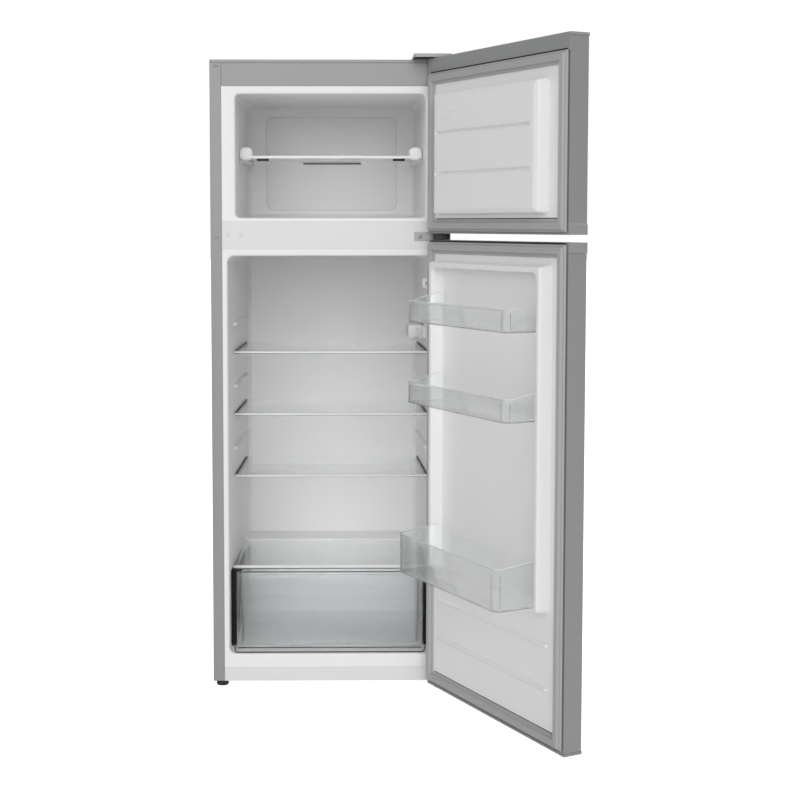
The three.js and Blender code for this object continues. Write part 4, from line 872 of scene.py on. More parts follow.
def vessel(
    low: Corner, high: Corner, wall: float, corners: Numbers, fillet: float, rim: Callable | float,
    draft: float = 0.0, lip: float = 0.0, side: int = 1, arc: int = 6,
) -> np.ndarray:
    """An open-topped moulding: up the outside, over a round rim and down the inside.

    The outline stands in by the fillet x (1 - sin a) near the floor, by half the wall x (1 - cos b)
    over the rim, and by the wall down the inside. The lip swells the rim outwards and inwards.

    Args:
        low: lowest corner of the outside.
        high: highest corner of the outside.
        wall: thickness of the wall.
        corners: the four corner radii, from the high corner anticlockwise.
        fillet: radius between the floor and the wall.
        rim: height of the rim, or how it is worked out from X and Y.
        draft: how much narrower each side is at the floor.
        lip: how much the rim is thicker on each side.
        side: steps along each straight side.
        arc: steps round each corner.

    Returns:
        A grid of points to be capped at both ends.
    """
    a = np.linspace(0, QUARTER, 6)
    b = np.linspace(0, math.pi, 9)
    inner = max(fillet - wall, wall * 0.6)
    half = wall / 2 + lip
    under = np.array((0.0, 0.0))
    inset = np.concatenate(
        (
            fillet * (1 - np.sin(a)),
            under,
            wall / 2 - half * np.cos(b),
            under + wall,
            wall + inner * (1 - np.sin(a[::-1])),
        )
    )
    rise = np.concatenate(
        (
            fillet * (1 - np.cos(a)),
            (-half * 3.2, -half * 1.6),
            half * np.sin(b) - half,
            (-half * 1.6, -half * 3.2),
            wall + inner * (1 - np.cos(a[::-1])),
        )
    )
    top = np.concatenate((np.zeros(6), np.ones(13), np.zeros(6)))
    inset = inset + draft * (1 - top)
    radii = np.maximum(np.asarray(corners, float)[None, :] - inset[:, None], wall * 0.3)
    rings = rounded(low[0] + inset, high[0] - inset, low[1] + inset, high[1] - inset, radii, arc, side)
    edge_height = rim(rings[..., 0], rings[..., 1]) if callable(rim) else np.full(rings.shape[:2], rim)
    levels = rise[:, None] + np.where(top[:, None] > 0, edge_height, low[2])
    return stack(rings, levels, Axis.Z)


@dataclass(frozen=True)
class Room:
    """A compartment's inner form, measured from its liner's box.

    Attributes:
        half: half width at the mouth.
        draft: how much narrower each side is at the back.
        floor: height of the floor over the liner's lowest edge.
        ceiling: depth of the ceiling under the liner's highest edge.
        depth: length over which the side walls draw in.
    """

    half: float
    draft: float
    floor: float
    ceiling: float
    depth: float = 0.456

    def wall(self, y: np.ndarray, mouth: float) -> np.ndarray:
        """Half the width at each Y, from the mouth's Y."""
        return self.half - self.draft * (y - mouth) / self.depth


FREEZER_ROOM = Room(half=0.215, draft=0.0025, floor=0.0087, ceiling=0.0177)
FRIDGE_ROOM = Room(half=0.234, draft=0.016, floor=0.0317, ceiling=0.0157)


# ----------------------------------------------------------------------------------------- cabinet
@dataclass
class Cabinet(Assembly):
    """Painted steel case, front bars and both liners."""

    fold: float = 0.0009
    liner_wall: float = 0.002
    mouth: float = 0.005
    back_round: float = 0.014
    flange_screw_in: float = 0.0137
    rail_pitch: float = 0.07355
    rails: int = 6

    def build(self) -> None:
        """Makes every piece of the case."""
        for node, name in (
            ("side_panel_left", "left_side_panel"),
            ("side_panel_right", "right_side_panel"),
            ("top_cover", "cabinet_top"),
            ("top_fascia", "front_fascia"),
            ("back_panel", "rear_panel"),
        ):
            self.refine(node, name, CABINET_PAINT, self.fold)
        self.refine("bottom_panel", "machine_bay_panel", GALVANISED, self.fold)
        self.refine("mullion_bar", "middle_bar", BAR_WHITE, 0.0007)
        self.refine("bottom_crossbar", "lower_bar", BAR_WHITE, 0.0009)
        frame["nodes"]["cabinet_foam"].material_slots[0].material = FOAM.material()
        self.freezer_liner()
        self.fridge_liner()
        self.fastenings()

    def cup(
        self, flange: tuple, opening: tuple, back: tuple, corner: float, depth: float, front: float
    ) -> np.ndarray:
        """A liner: from the middle of its outer back, forward, round the flange and in to its inner back.

        Args:
            flange: left, right, lowest and highest edge of the flange.
            opening: the same of the opening.
            back: the same of the back wall.
            corner: radius of the opening's corners.
            depth: Y of the inner back.
            front: Y of the flange's face.

        Returns:
            A grid of points to be capped at both ends.
        """
        wall, mouth, deep = self.liner_wall, self.mouth, self.back_round
        a = np.linspace(0, QUARTER, 6)
        flange, opening, back = (np.array(v, float) for v in (flange, opening, back))
        grow = np.array((-1.0, 1.0, -1.0, 1.0))
        rows = [back + grow * (wall - deep), back + grow * wall, opening + grow * wall, flange, flange]
        levels = [depth + wall, depth + wall - deep, front + wall, front + wall, front]
        radii = [corner, corner + wall, corner + wall, 0.001, 0.001]
        for turn in a:
            rows.append(opening + grow * mouth * (1 - math.sin(turn)))
            levels.append(front + mouth * (1 - math.cos(turn)))
            radii.append(corner + mouth * (1 - math.sin(turn)))
        for turn in a:
            rows.append(back - grow * deep * (1 - math.cos(turn)))
            levels.append(depth - deep * (1 - math.sin(turn)))
            radii.append(corner + deep * 0.4)
        table = np.array(rows)
        rings = rounded(table[:, 0], table[:, 1], table[:, 2], table[:, 3], np.array(radii), 7)
        return stack(rings, np.array(levels), Axis.Y)

    def ledge(
        self, room: tuple, side: int, front: float, back: float, low: float, high: float, reach: float
    ) -> np.ndarray:
        """A moulded ledge on a side wall: its inner face is round in section and at both ends.

        Args:
            room: half width at the front and at the back, Y of the front and the back, and the middle X.
            side: -1 for the left wall and 1 for the right.
            front: Y where the ledge starts.
            back: Y where it ends.
            low: its lowest level.
            high: its highest level.
            reach: how far it stands out of the wall.

        Returns:
            A grid of points to be capped at both ends.
        """
        middle = room[4]
        share = np.linspace(0, 1, 26)
        y = front + (back - front) * (1 - np.cos(share * math.pi)) / 2
        wall = room[0] + (room[1] - room[0]) * (y - room[2]) / (room[3] - room[2])
        ends = dome(np.minimum(y - front, back - y) / 0.012)
        a = np.linspace(-1, 1, 13)
        bulge = (1 - np.abs(a) ** 4) ** 0.5
        z = (low + high) / 2 + (high - low) / 2 * a
        inner = wall[:, None] - (reach * ends[:, None]) * bulge[None, :]
        x = np.concatenate((inner, np.broadcast_to(wall[:, None] + 0.001, (26, 2))), 1)
        heights = np.broadcast_to(np.concatenate((z, (high, low))), (26, 15))
        return np.stack((middle + side * x, np.broadcast_to(y[:, None], (26, 15)), heights), -1)

    def moulding(self, node: str, room: Room, corner: float) -> tuple[Shape, tuple, float, float]:
        """A liner's cup.

        Args:
            node: the liner's CAD node.
            room: the compartment's inner form.
            corner: radius of the opening's corners.

        Returns:
            The shape, the measures that a ledge needs, and the heights of the floor and the ceiling.
        """
        low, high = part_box(node)
        middle, half, draft = (low.x + high.x) / 2, room.half, room.draft
        depth = high.y - self.liner_wall
        floor, top = low.z + room.floor, high.z - room.ceiling
        opening = (middle - half, middle + half, floor, top)
        back = (middle - half + draft, middle + half - draft, floor + draft / 2, top - draft / 2)
        shape = Shape().skin(self.cup((low.x, high.x, low.z, high.z), opening, back, corner, depth, low.y))
        return shape, (half, half - draft, low.y, depth, middle), floor, top

    def freezer_liner(self) -> None:
        """The freezer's white moulding, with the slotted ledges that carry its shelf."""
        glass_low, glass_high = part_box("freezer_shelf_glass")
        shape, room, floor, top = self.moulding("freezer_liner", FREEZER_ROOM, 0.010)
        half, _, _, depth, middle = room
        for side in (-1, 1):
            for z0, z1 in (
                (glass_low.z - 0.0098, glass_low.z - 0.0004), (glass_high.z + 0.0004, glass_high.z + 0.012)
            ):
                shape.skin(self.ledge(room, side, glass_low.y + 0.03, depth - 0.006, z0, z1, 0.0165))
        pressed = (middle - half + 0.05, depth - 0.0025, floor + 0.02), (
            middle + half - 0.05, depth + 0.001, top - 0.024
        )
        shape.skin(slab(*pressed, Axis.Y, 0.02, 0.0025, 8))
        self.put("freezer_compartment_liner", shape, LINER_WHITE, "freezer_liner")
        slot = slab(
            (middle - 0.072, depth - 0.0042, glass_low.z - 0.0035),
            (middle + 0.074, depth - 0.002, glass_low.z - 0.0005), Axis.Y, 0.0014, 0.0005,
        )
        self.put("freezer_air_slot", Shape().skin(slot), DARK_STRIP_AND_SHADE)

    def fridge_liner(self) -> None:
        """The fridge's white moulding, with the step over the compressor and its shelf ledges."""
        shape, room, floor, _ = self.moulding("fridge_liner", FRIDGE_ROOM, 0.015)
        self.step(shape, room, floor)
        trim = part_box("fridge_shelf_trim_1")
        shelf_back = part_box("fridge_shelf_glass_1")[1].y
        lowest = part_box("fridge_shelf_glass_3")[0].z
        levels = lowest - 0.0004 + np.arange(self.rails) * self.rail_pitch
        for side in (-1, 1):
            for level in levels:
                shape.skin(
                    self.ledge(room, side, trim[1].y + 0.002, shelf_back, level - 0.010, level, 0.0095)
                )
            cover_low, cover_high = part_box("crisper_cover")
            shape.skin(
                self.ledge(
                    room, side, cover_low.y + 0.002, cover_high.y, cover_low.z - 0.0095,
                    cover_low.z - 0.0004, 0.009
                )
            )
        self.put("fridge_compartment_liner", shape, LINER_WHITE, "fridge_liner")

    def step(self, shape: Shape, room: tuple, floor: float) -> None:
        """The step over the compressor: a profile of its front and top, carried from wall to wall.

        The profile goes up the front, round the nose and back along the top, and its front is
        raised round a flat recess.

        Args:
            shape: what it is added to.
            room: half width at the front and at the back, Y of the front and the back, and the middle X.
            floor: height of the compartment's floor at the front.
        """
        half, _, front, depth, middle = room
        draft = FRIDGE_ROOM.draft
        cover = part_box("crisper_cover")[1]
        face, top = cover.y + 0.0015, cover.z
        nose = 0.005
        a = np.linspace(0, QUARTER, 7)
        rise = np.linspace(floor, top - nose - 0.002, 40)
        y = np.concatenate(
            (np.full(40, face), face + nose * (1 - np.cos(a)), (depth + 0.001, depth + 0.001))
        )
        z = np.concatenate((rise, top - nose + nose * np.sin(a), (top, floor)))
        share = np.linspace(-1, 1, 121)
        widths = half - draft * (y - front) / (depth - front) + 0.0005
        x = middle + share[:, None] * widths[None, :]
        z = np.broadcast_to(z, x.shape)
        pressed = inside(
            x, z, (middle - half * 0.55, middle + half * 0.5, floor - 0.03, floor + 0.085), 0.012
        )
        sunk = (0.005 * ease(pressed / 0.008) - 0.005) * (np.arange(len(y)) < 40)
        shape.skin(np.stack((x, np.broadcast_to(y, x.shape) + sunk, z), -1))

    def fastenings(self) -> None:
        """Screws on the left flange and the blanking plugs of the unused hinge holes."""
        low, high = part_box("side_panel_left")
        bar_low, bar_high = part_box("mullion_bar")
        level = (bar_low.z + bar_high.z) / 2 + 0.0015
        shape = Shape()
        for z in (high.z - 0.005, level - 0.004):
            shape.skin(Screw().surface((low.x + self.flange_screw_in, low.y, z), Axis.Y, -1.0))
        self.put("flange_screws", shape, HINGE_STEEL)
        for number in (1, 2):
            self.plug(number)

    def plug(self, number: int) -> None:
        """A blanking plug: a low domed head on its shank."""
        node = f"mullion_plug_{number}"
        low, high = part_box(node)
        radius, length = (high.x - low.x) / 2, high.y - low.y
        centre = ((low.x + high.x) / 2, low.y, (low.z + high.z) / 2)
        profile = (
            (0.0, 0.0), (radius * 0.45, 0.0001), (radius * 0.82, 0.0008), (radius, 0.0016),
            (radius, 0.0021), (radius * 0.65, 0.0021), (radius * 0.65, length), (0.0, length),
        )
        self.put(
            f"hinge_hole_plug_{number}", Shape().skin(lathe(profile, centre, Axis.Y, 28)), BAR_WHITE, node
        )


# ------------------------------------------------------------------------------------------ shelves
@dataclass
class Shelf(Assembly):
    """A glass shelf with a front trim and dark side strips."""

    number: int = 1
    taper: float = 0.0102
    strip_start: float = 0.012

    def build(self) -> None:
        """Makes the glass, its front trim and its side strips."""
        glass, trim = f"fridge_shelf_glass_{self.number}", f"fridge_shelf_trim_{self.number}"
        self.refine(glass, f"shelf_{self.number}_glass", GLASS, 0.0005, segments=2)
        low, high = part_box(trim)
        glass_low, glass_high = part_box(glass)
        top, base = high.z, low.z + 0.0022
        profile = np.array(
            [
                (high.y, top), (low.y + 0.002, top), (low.y + 0.0006, top - 0.0006), (low.y, top - 0.002),
                (low.y, base + 0.001), (low.y + 0.0006, base + 0.0002), (low.y + 0.0026, base),
                (low.y + 0.0026, glass_high.z + 0.0004), (high.y, glass_high.z + 0.0004),
            ]
        )
        ends = np.array((low.x, low.x + 0.001, high.x - 0.001, high.x))
        middle = profile.mean(0)
        shrink = np.array((0.92, 1.0, 1.0, 0.92))[:, None, None]
        rings = middle + (profile - middle) * shrink
        self.put(
            f"shelf_{self.number}_trim", Shape().skin(stack(rings, ends, Axis.X)), LINER_WHITE, trim,
            bevel=0.0003
        )
        # Painted shade: a dark strip under the trim's front stands in for the shadow and dark glass edge
        # below it.
        under = slab(
            (low.x + 0.001, low.y + 0.0002, base - 0.0001), (high.x - 0.001, low.y + 0.006, base + 0.0022),
            Axis.X, 0.0008, 0.0006
        )
        self.put(f"shelf_{self.number}_under_painted_shade", Shape().skin(under), DARK_STRIP_AND_SHADE)
        self.strips(glass_low, glass_high)

    def strips(self, low: Vector, high: Vector) -> None:
        """Thin dark strips under both side edges of the glass, which follow its taper."""
        shape = Shape()
        middle, half = (low.x + high.x) / 2, (high.x - low.x) / 2
        for side in (-1, 1):
            y = np.array((low.y + self.strip_start, high.y - 0.001))
            outer = half - 0.0002 - self.taper * (y - low.y) / (high.y - low.y)
            section = np.array(((-0.0022, -0.0012), (0.0, -0.0012), (0.0, 0.0048), (-0.0022, 0.0048)))
            x = middle + side * (outer[:, None] + section[None, :, 0])
            z = np.broadcast_to(low.z + section[:, 1], x.shape)
            shape.skin(np.stack((x, np.broadcast_to(y[:, None], x.shape), z), -1))
        self.put(f"shelf_{self.number}_side_strips", shape, DARK_STRIP_AND_SHADE, bevel=0.0003)


@dataclass
class FreezerShelf(Assembly):
    """The freezer's glass shelf with its thin front trim."""

    def build(self) -> None:
        """Makes the glass and the trim on its front edge."""
        self.refine("freezer_shelf_glass", "freezer_glass_shelf", GLASS, 0.0005, segments=2)
        low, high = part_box("freezer_shelf_glass")
        shape = Shape()
        shape.skin(
            slab(
                (low.x + 0.001, low.y - 0.0025, low.z - 0.0015),
                (high.x - 0.001, low.y - 0.0002, high.z + 0.001), Axis.X, 0.0009, 0.0008
            )
        )
        self.put("freezer_shelf_trim", shape, LINER_WHITE)
        caps, clips = Shape(), Shape()
        middle, half = (low.x + high.x) / 2, (high.x - low.x) / 2
        for side in (-1, 1):
            inner, outer = sorted((middle + side * (half - 0.031), middle + side * (half - 0.0004)))
            ends = (inner, low.y - 0.004, low.z - 0.006), (outer, low.y + 0.018, high.z + 0.021)
            caps.skin(slab(*ends, Axis.Y, 0.0125, 0.006, 9, 6))
            inner, outer = sorted((middle + side * (half - 0.068), middle + side * (half - 0.040)))
            clips.skin(
                slab(
                    (inner, low.y + 0.006, low.z - 0.0068), (outer, low.y + 0.020, low.z - 0.0003), Axis.X,
                    0.0015, 0.001
                )
            )
        self.put("freezer_shelf_end_caps", caps, LINER_WHITE)
        self.put("freezer_shelf_clips", clips, BLACK_PLASTIC)


@dataclass
class Crisper(Assembly):
    """Crisper cover glass with its front trim, the drawer and the dark runners beside it."""

    wall: float = 0.0025
    face_overlap: float = 0.009
    runner_thick: tuple[float, float] = (0.02, 0.0095)

    def build(self) -> None:
        """Makes the cover, the drawer and the runners."""
        self.refine("crisper_cover", "crisper_cover_glass", GLASS, 0.0005, "cabinet", 2)
        low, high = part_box("crisper_cover")
        trim = Shape()
        trim.skin(
            slab(
                (low.x + 0.001, low.y - 0.006, low.z - 0.0012),
                (high.x - 0.001, low.y - 0.0002, high.z + 0.0015), Axis.X, 0.0016, 0.001
            )
        )
        self.put("crisper_cover_trim", trim, LINER_WHITE, body="cabinet")
        # Painted shadow: a dark strip under the cover's front trim stands in for the shadow gap over the
        # drawer.
        under = slab(
            (low.x + 0.002, low.y - 0.004, low.z - 0.0032), (high.x - 0.002, low.y - 0.001, low.z - 0.0013),
            Axis.X, 0.0006, 0.0006
        )
        self.put("crisper_cover_painted_shade", Shape().skin(under), DARK_STRIP_AND_SHADE, body="cabinet")
        self.drawer()
        self.runners()

    def drawer(self) -> None:
        """The clear tub with a separate-looking front plate and side flanges, and painted shade lines round
        the plate.
        """
        low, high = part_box("crisper_drawer")
        narrow = self.face_overlap
        shape = Shape()
        tub_low = (low.x + narrow, low.y + 0.0062, low.z + 0.002)
        tub_high = (high.x - narrow, high.y, high.z - 0.009)
        shape.skin(
            vessel(tub_low, tub_high, self.wall, (0.012,) * 4, 0.009, high.z - 0.009, 0.003, 0.0008, 2)
        )
        shape.skin(
            slab((low.x, low.y, low.z - 0.0022), (high.x, low.y + 0.006, high.z), Axis.Y, 0.006, 0.0016)
        )
        self.put("clear_crisper_drawer", shape, CLEAR, "crisper_drawer", body="drawer")
        # Painted shade: dark lines along the plate's top, bottom and sides stand in for the shadow gaps and
        # dark plate edges.
        painted_shade_lines = Shape()
        for z0, z1 in ((low.z - 0.0016, low.z + 0.0006), (high.z - 0.0024, high.z - 0.0004)):
            painted_shade_lines.skin(
                slab(
                    (low.x + 0.004, low.y - 0.0006, z0), (high.x - 0.004, low.y + 0.0004, z1), Axis.X,
                    0.0004, 0.0004
                )
            )
        for x in (low.x + 0.0003, high.x - 0.0015):
            painted_shade_lines.skin(
                slab(
                    (x, low.y - 0.0004, low.z + 0.004), (x + 0.0012, low.y + 0.0008, high.z - 0.004),
                    Axis.Z, 0.0004, 0.0004
                )
            )
        self.put("crisper_face_painted_shade", painted_shade_lines, DARK_STRIP_AND_SHADE, body="drawer")

    def runners(self) -> None:
        """Black runners between the liner's side walls and the drawer, and the strip along its stop."""
        low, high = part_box("crisper_drawer")
        liner_low, liner_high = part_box("fridge_liner")
        middle = (liner_low.x + liner_high.x) / 2
        shape = Shape()
        front = low.y + 0.0005
        for side, edge, thick in zip((-1, 1), (low.x, high.x), self.runner_thick):
            y = np.linspace(front, high.y - 0.004, 8)
            wall = FRIDGE_ROOM.wall(y, liner_low.y) - 0.0002
            gap = side * (edge - middle) + 0.0012
            inner = np.maximum(np.minimum(wall - 0.0012, gap), 0.0)
            wall = np.minimum(wall, np.maximum(inner + 0.0012, inner[0] + thick))
            x = middle + side * np.stack((inner, wall, wall, inner), 1)
            bottom, top = low.z + 0.005, high.z + 0.0025
            z = np.broadcast_to(np.array((bottom, bottom, top, top)), x.shape)
            shape.skin(np.stack((x, np.broadcast_to(y[:, None], x.shape), z), -1))
        self.put("crisper_runners", shape, RUNNER, body="cabinet", bevel=0.0008)
        left, right, level, turn = low.x - 0.0018, high.x + 0.0018, liner_low.z + 0.0333, 0.006
        a = np.linspace(0, QUARTER, 7)
        corner = turn - turn * np.sin(a), turn - turn * np.cos(a)
        x = np.concatenate(((left,), left + corner[1], right - corner[1][::-1], (right,)))
        z = np.concatenate(((level + 0.014,), level + corner[0], level + corner[0][::-1], (level + 0.014,)))
        path = np.stack((x, np.full(x.shape, liner_low.y + 0.007), z), -1)
        self.put(
            "crisper_stop_strip", Shape().skin(tube(path, 0.0012, 8, (0.0, 1.0, 0.0))), DARK_STRIP_AND_SHADE,
            body="cabinet"
        )


# ---------------------------------------------------------------------------- thermostat and switch
@dataclass
class Thermostat(Assembly):
    """Thermostat housing with its lens and knob, and the door switch."""

    flutes: int = 18
    prisms: int = 16

    def build(self) -> None:
        """Makes the housing, lens, knob and switch."""
        low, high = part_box("thermostat_housing")
        shape = Shape().skin(slab(tuple(low), tuple(high), Axis.Z, 0.009, 0.004, 6, 4))
        liner_low, liner_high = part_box("fridge_liner")
        y = np.linspace(low.y + 0.004, high.y, 8)
        wall = (liner_low.x + liner_high.x) / 2 + FRIDGE_ROOM.wall(y, liner_low.y)
        foot = rounded(
            np.full(8, high.x - 0.012), wall - 0.0003, np.full(8, low.z + 0.001),
            np.full(8, high.z - 0.001), 0.003
        )
        shape.skin(stack(foot, y, Axis.Y))
        self.put("control_housing", shape, LINER_WHITE, "thermostat_housing")
        self.lens()
        self.dial()
        low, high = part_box("door_switch_body")
        body = Shape().skin(slab(tuple(low), tuple(high), Axis.Y, 0.003, 0.0012))
        self.put("door_switch_box", body, LINER_WHITE, "door_switch_body")
        low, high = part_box("door_switch_plunger")
        radius = (high.x - low.x) / 2
        centre = ((low.x + high.x) / 2, low.y, (low.z + high.z) / 2)
        profile = (
            (0.0, 0.0), (radius * 0.6, 0.0004), (radius * 0.9, 0.0014), (radius, 0.003),
            (radius, high.y - low.y)
        )
        rod = Shape().skin(lathe(profile, centre, Axis.Y, 24))
        self.put("door_switch_button", rod, GREY_PLASTIC, "door_switch_plunger", body="plunger")

    def lens(self) -> None:
        """The lamp's lens: a sheet with upright prisms moulded across it."""
        low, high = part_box("lamp_lens")
        y = np.linspace(low.y, high.y, 97)
        z = np.linspace(low.z, high.z, 3)
        ribs = 0.0006 * np.abs(np.sin((y - low.y) / (high.y - low.y) * math.pi * self.prisms))
        front = np.stack(np.broadcast_arrays((low.x - 0.0008 + ribs)[:, None], y[:, None], z[None, :]), -1)
        back = front[:, ::-1].copy()
        back[..., 0] = high.x
        self.put("lamp_cover", Shape().skin(np.concatenate((front, back), 1)), CLEAR, "lamp_lens")

    def dial(self) -> None:
        """The knob with its fluted rim and grip bar."""
        low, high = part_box("thermostat_knob")
        centre = np.array(((low.x + high.x) / 2, 0.0, (low.z + high.z) / 2))
        radius, length = (high.x - low.x) / 2, high.y - low.y
        shares = np.array((0.0, 0.7, 0.93, 1.0, 1.0, 0.98, 0.0))
        levels = high.y - length * np.array((0.52, 0.52, 0.5, 0.42, 0.1, 0.0, 0.0))
        turn = np.arange(72) * (2 * math.pi / 72)
        flute = 1 - 0.03 * (np.cos(turn * self.flutes) > 0.3)
        rings = np.maximum(shares, 0.01)[:, None, None] * radius * np.stack(
            (np.cos(turn), np.sin(turn)), -1
        )
        rings = rings * np.where(shares[:, None, None] > 0.95, flute[None, :, None], 1.0)
        shape = Shape().skin(stack(rings, levels, Axis.Y) + centre)
        shape.skin(
            slab(
                (centre[0] - 0.003, low.y, low.z + 0.002),
                (centre[0] + 0.003, high.y - length * 0.4, high.z - 0.002), Axis.Y, 0.002, 0.001
            )
        )
        self.put("control_knob", shape, WHITE_KNOB, "thermostat_knob", body="knob")


# ---------------------------------------------------------------------------------------- machinery
@dataclass
class Machinery(Assembly):
    """Compressor, condenser, pipes, tray, base plate and rollers behind the step."""

    wires: int = 44
    wire: float = 0.00065
    passes: int = 14
    pitch: float = 0.078
    foot_plate_half: float = 0.087

    def build(self) -> None:
        """Makes every piece of the machine bay and the condenser."""
        self.refine("compressor_base_plate", "compressor_bed", GALVANISED, 0.0006)
        self.refine("terminal_box", "relay_cover", BLACK_PLASTIC, 0.003)
        self.compressor()
        self.condenser()
        self.tray()
        self.pipes()
        for side in ("left", "right"):
            self.roller(side)
        self.refine("cable_gland", "mains_gland", RUBBER, 0.0005)

    def compressor(self) -> None:
        """The welded shell, its foot plate, rubber mounts and bolts."""
        low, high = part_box("compressor")
        centre = ((low.x + high.x) / 2, (low.y + high.y) / 2, low.z)
        r, h = (high.y - low.y) / 2, high.z - low.z
        stretch = (1.28, 1.0)
        a = np.linspace(0, QUARTER, 9)
        lower = [(r * 0.95 * math.sin(t), 0.004 + 0.032 * (1 - math.cos(t))) for t in a]
        upper = [(r * 0.93 * math.cos(t), h * 0.72 + h * 0.28 * math.sin(t)) for t in a]
        weld = [
            (r * 0.95, h * 0.52), (r * 0.985, h * 0.527), (r, h * 0.535), (r, h * 0.565),
            (r * 0.985, h * 0.573), (r * 0.93, h * 0.58)
        ]
        shape = Shape().skin(lathe(lower + weld + upper, centre, Axis.Z, 56, stretch))
        width = self.foot_plate_half
        shape.skin(
            slab(
                (centre[0] - width, centre[1] - r + 0.010, low.z),
                (centre[0] + width, centre[1] + r - 0.010, low.z + 0.003), Axis.Z, 0.012, 0.0008
            )
        )
        self.put("compressor_shell", shape, BLACK_PAINT, "compressor")
        mounts, bolts = Shape(), Shape()
        floor = low.z - 0.012
        for sx in (-1, 1):
            for sy in (-1, 1):
                place = (centre[0] + sx * 0.075, centre[1] + sy * (r - 0.020), floor)
                mounts.skin(
                    lathe(
                        (
                            (0.0, 0.0), (0.011, 0.0), (0.012, 0.001), (0.012, 0.003), (0.009, 0.005),
                            (0.009, 0.007), (0.012, 0.009), (0.012, 0.0115), (0.009, 0.0158),
                            (0.008, 0.0165), (0.0, 0.0165)
                        ),
                        place, Axis.Z, 24
                    )
                )
                bolts.skin(
                    lathe(
                        ((0.0, 0.0), (0.0032, 0.0), (0.0032, 0.0215), (0.0026, 0.0222), (0.0, 0.0222)),
                        place, Axis.Z, 16
                    )
                )
                bolts.skin(
                    lathe(
                        ((0.0, 0.0166), (0.0062, 0.0166), (0.0062, 0.0176), (0.0, 0.0176)), place, Axis.Z,
                        24
                    )
                )
        self.put("compressor_mounts", mounts, RUBBER)
        self.put("compressor_bolts", bolts, HINGE_STEEL)

    def condenser(self) -> None:
        """The condenser: one winding tube between two rows of fine upright wires."""
        low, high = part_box("condenser")
        passes, pitch, wire = self.passes, self.pitch, self.wire
        bottom, top = low.z + 0.012, high.z - 0.012
        middle = (low.x + high.x) / 2
        bend = pitch / 2
        end = (high.x - low.x) / 2 - bend
        level = low.y + 0.0025
        radius = 0.0023
        a = np.linspace(-QUARTER, QUARTER, 13)
        side = np.where(np.arange(passes) % 2, -1.0, 1.0)[:, None]
        z = bottom + pitch * np.arange(passes)[:, None]
        x = np.concatenate((-side * end * 0.98, side * end * 0.98, side * (end + bend * np.cos(a))), 1)
        z = np.concatenate((z, z, z + bend + bend * np.sin(a)), 1)
        x, z = x.reshape(-1)[:-13], z.reshape(-1)[:-13]
        path = np.stack((middle + x, np.full(x.shape, level), z), -1)
        shape = Shape().skin(tube(path, radius, 10, (0.0, 1.0, 0.0)))
        spots = np.linspace(-end, end, self.wires)
        for near in (-1, 1):
            for spot in spots:
                line = np.array(((middle + spot, level + near * (radius + wire * 0.6), low.z),
                                 (middle + spot, level + near * (radius + wire * 0.6), high.z)))
                shape.skin(tube(line, wire, 5, (0.0, 1.0, 0.0)))
        self.put("wire_condenser", shape, BLACK_PAINT, "condenser")
        clips = Shape()
        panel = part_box("back_panel")[1].y
        for sx in (-1, 1):
            for z in (bottom + pitch, top - pitch):
                spot = middle + sx * (end - 0.02)
                clips.skin(
                    slab(
                        (spot - 0.009, panel, z - 0.007),
                        (spot + 0.009, level + radius + 0.0016, z + 0.007), Axis.Y, 0.003, 0.0009
                    )
                )
        self.put("condenser_clips", clips, BLACK_PLASTIC)

    def tray(self) -> None:
        """The evaporating tray over the compressor, and the drain spout above it."""
        low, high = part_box("drip_tray")
        shape = Shape().skin(
            vessel(tuple(low), tuple(high), 0.0018, (0.011,) * 4, 0.006, high.z, 0.003, 0.0008, 2)
        )
        self.put("evaporating_tray", shape, GREY_PLASTIC, "drip_tray")
        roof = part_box("bottom_panel")[1].z - 0.0012
        centre = ((low.x + high.x) / 2 + 0.03, (low.y + high.y) / 2, roof)
        profile = ((0.005, -0.0004), (0.009, -0.0006), (0.009, -0.003), (0.0062, -0.004), (0.0052, -0.0095),
                   (0.0042, -0.0095), (0.0042, -0.0012), (0.005, -0.0004))
        self.put("drain_spout", Shape().skin(lathe(profile, centre, Axis.Z, 24), caps=False), GREY_PLASTIC)

    def pipes(self) -> None:
        """Refrigerant pipes and the filter dryer with its rolled ends."""
        self.refine("discharge_pipe", "discharge_line", COPPER, 0.0)
        self.refine("suction_pipe", "suction_line", COPPER, 0.0)
        low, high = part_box("filter_dryer")
        r, h = (high.x - low.x) / 2, high.z - low.z
        centre = ((low.x + high.x) / 2, (low.y + high.y) / 2, low.z)
        end = [(0.0, 0.0), (0.0032, 0.0), (0.0036, 0.006), (0.006, 0.0095), (r * 0.9, 0.014), (r, 0.018)]
        groove = [(r, h * 0.2), (r * 0.93, h * 0.215), (r, h * 0.23)]
        half = end + groove
        profile = half + [(a, h - b) for a, b in reversed(half)]
        self.put(
            "filter_dryer_shell", Shape().skin(lathe(profile, centre, Axis.Z, 28)), COPPER, "filter_dryer"
        )

    def roller(self, side: str) -> None:
        """A moulded rear roller, turned about X."""
        node = f"rear_roller_{side}"
        low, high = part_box(node)
        r, half = (high.z - low.z) / 2, (high.x - low.x) / 2
        centre = ((low.x + high.x) / 2, (low.y + high.y) / 2, (low.z + high.z) / 2)
        bore = 0.0035
        profile = (
            (bore, -half), (r * 0.55, -half), (r * 0.6, -half + 0.0012), (r * 0.8, -half + 0.0012),
            (r * 0.84, -half), (r - 0.001, -half), (r, -half + 0.001), (r, half - 0.001), (r - 0.001, half),
            (r * 0.84, half), (r * 0.8, half - 0.0012), (r * 0.6, half - 0.0012), (r * 0.55, half),
            (bore, half),
        )
        self.put(
            f"{side}_roller_wheel", Shape().skin(lathe(profile, centre, Axis.X, 40), closed=True),
            BLACK_PLASTIC, node, body=f"{side}_roller"
        )


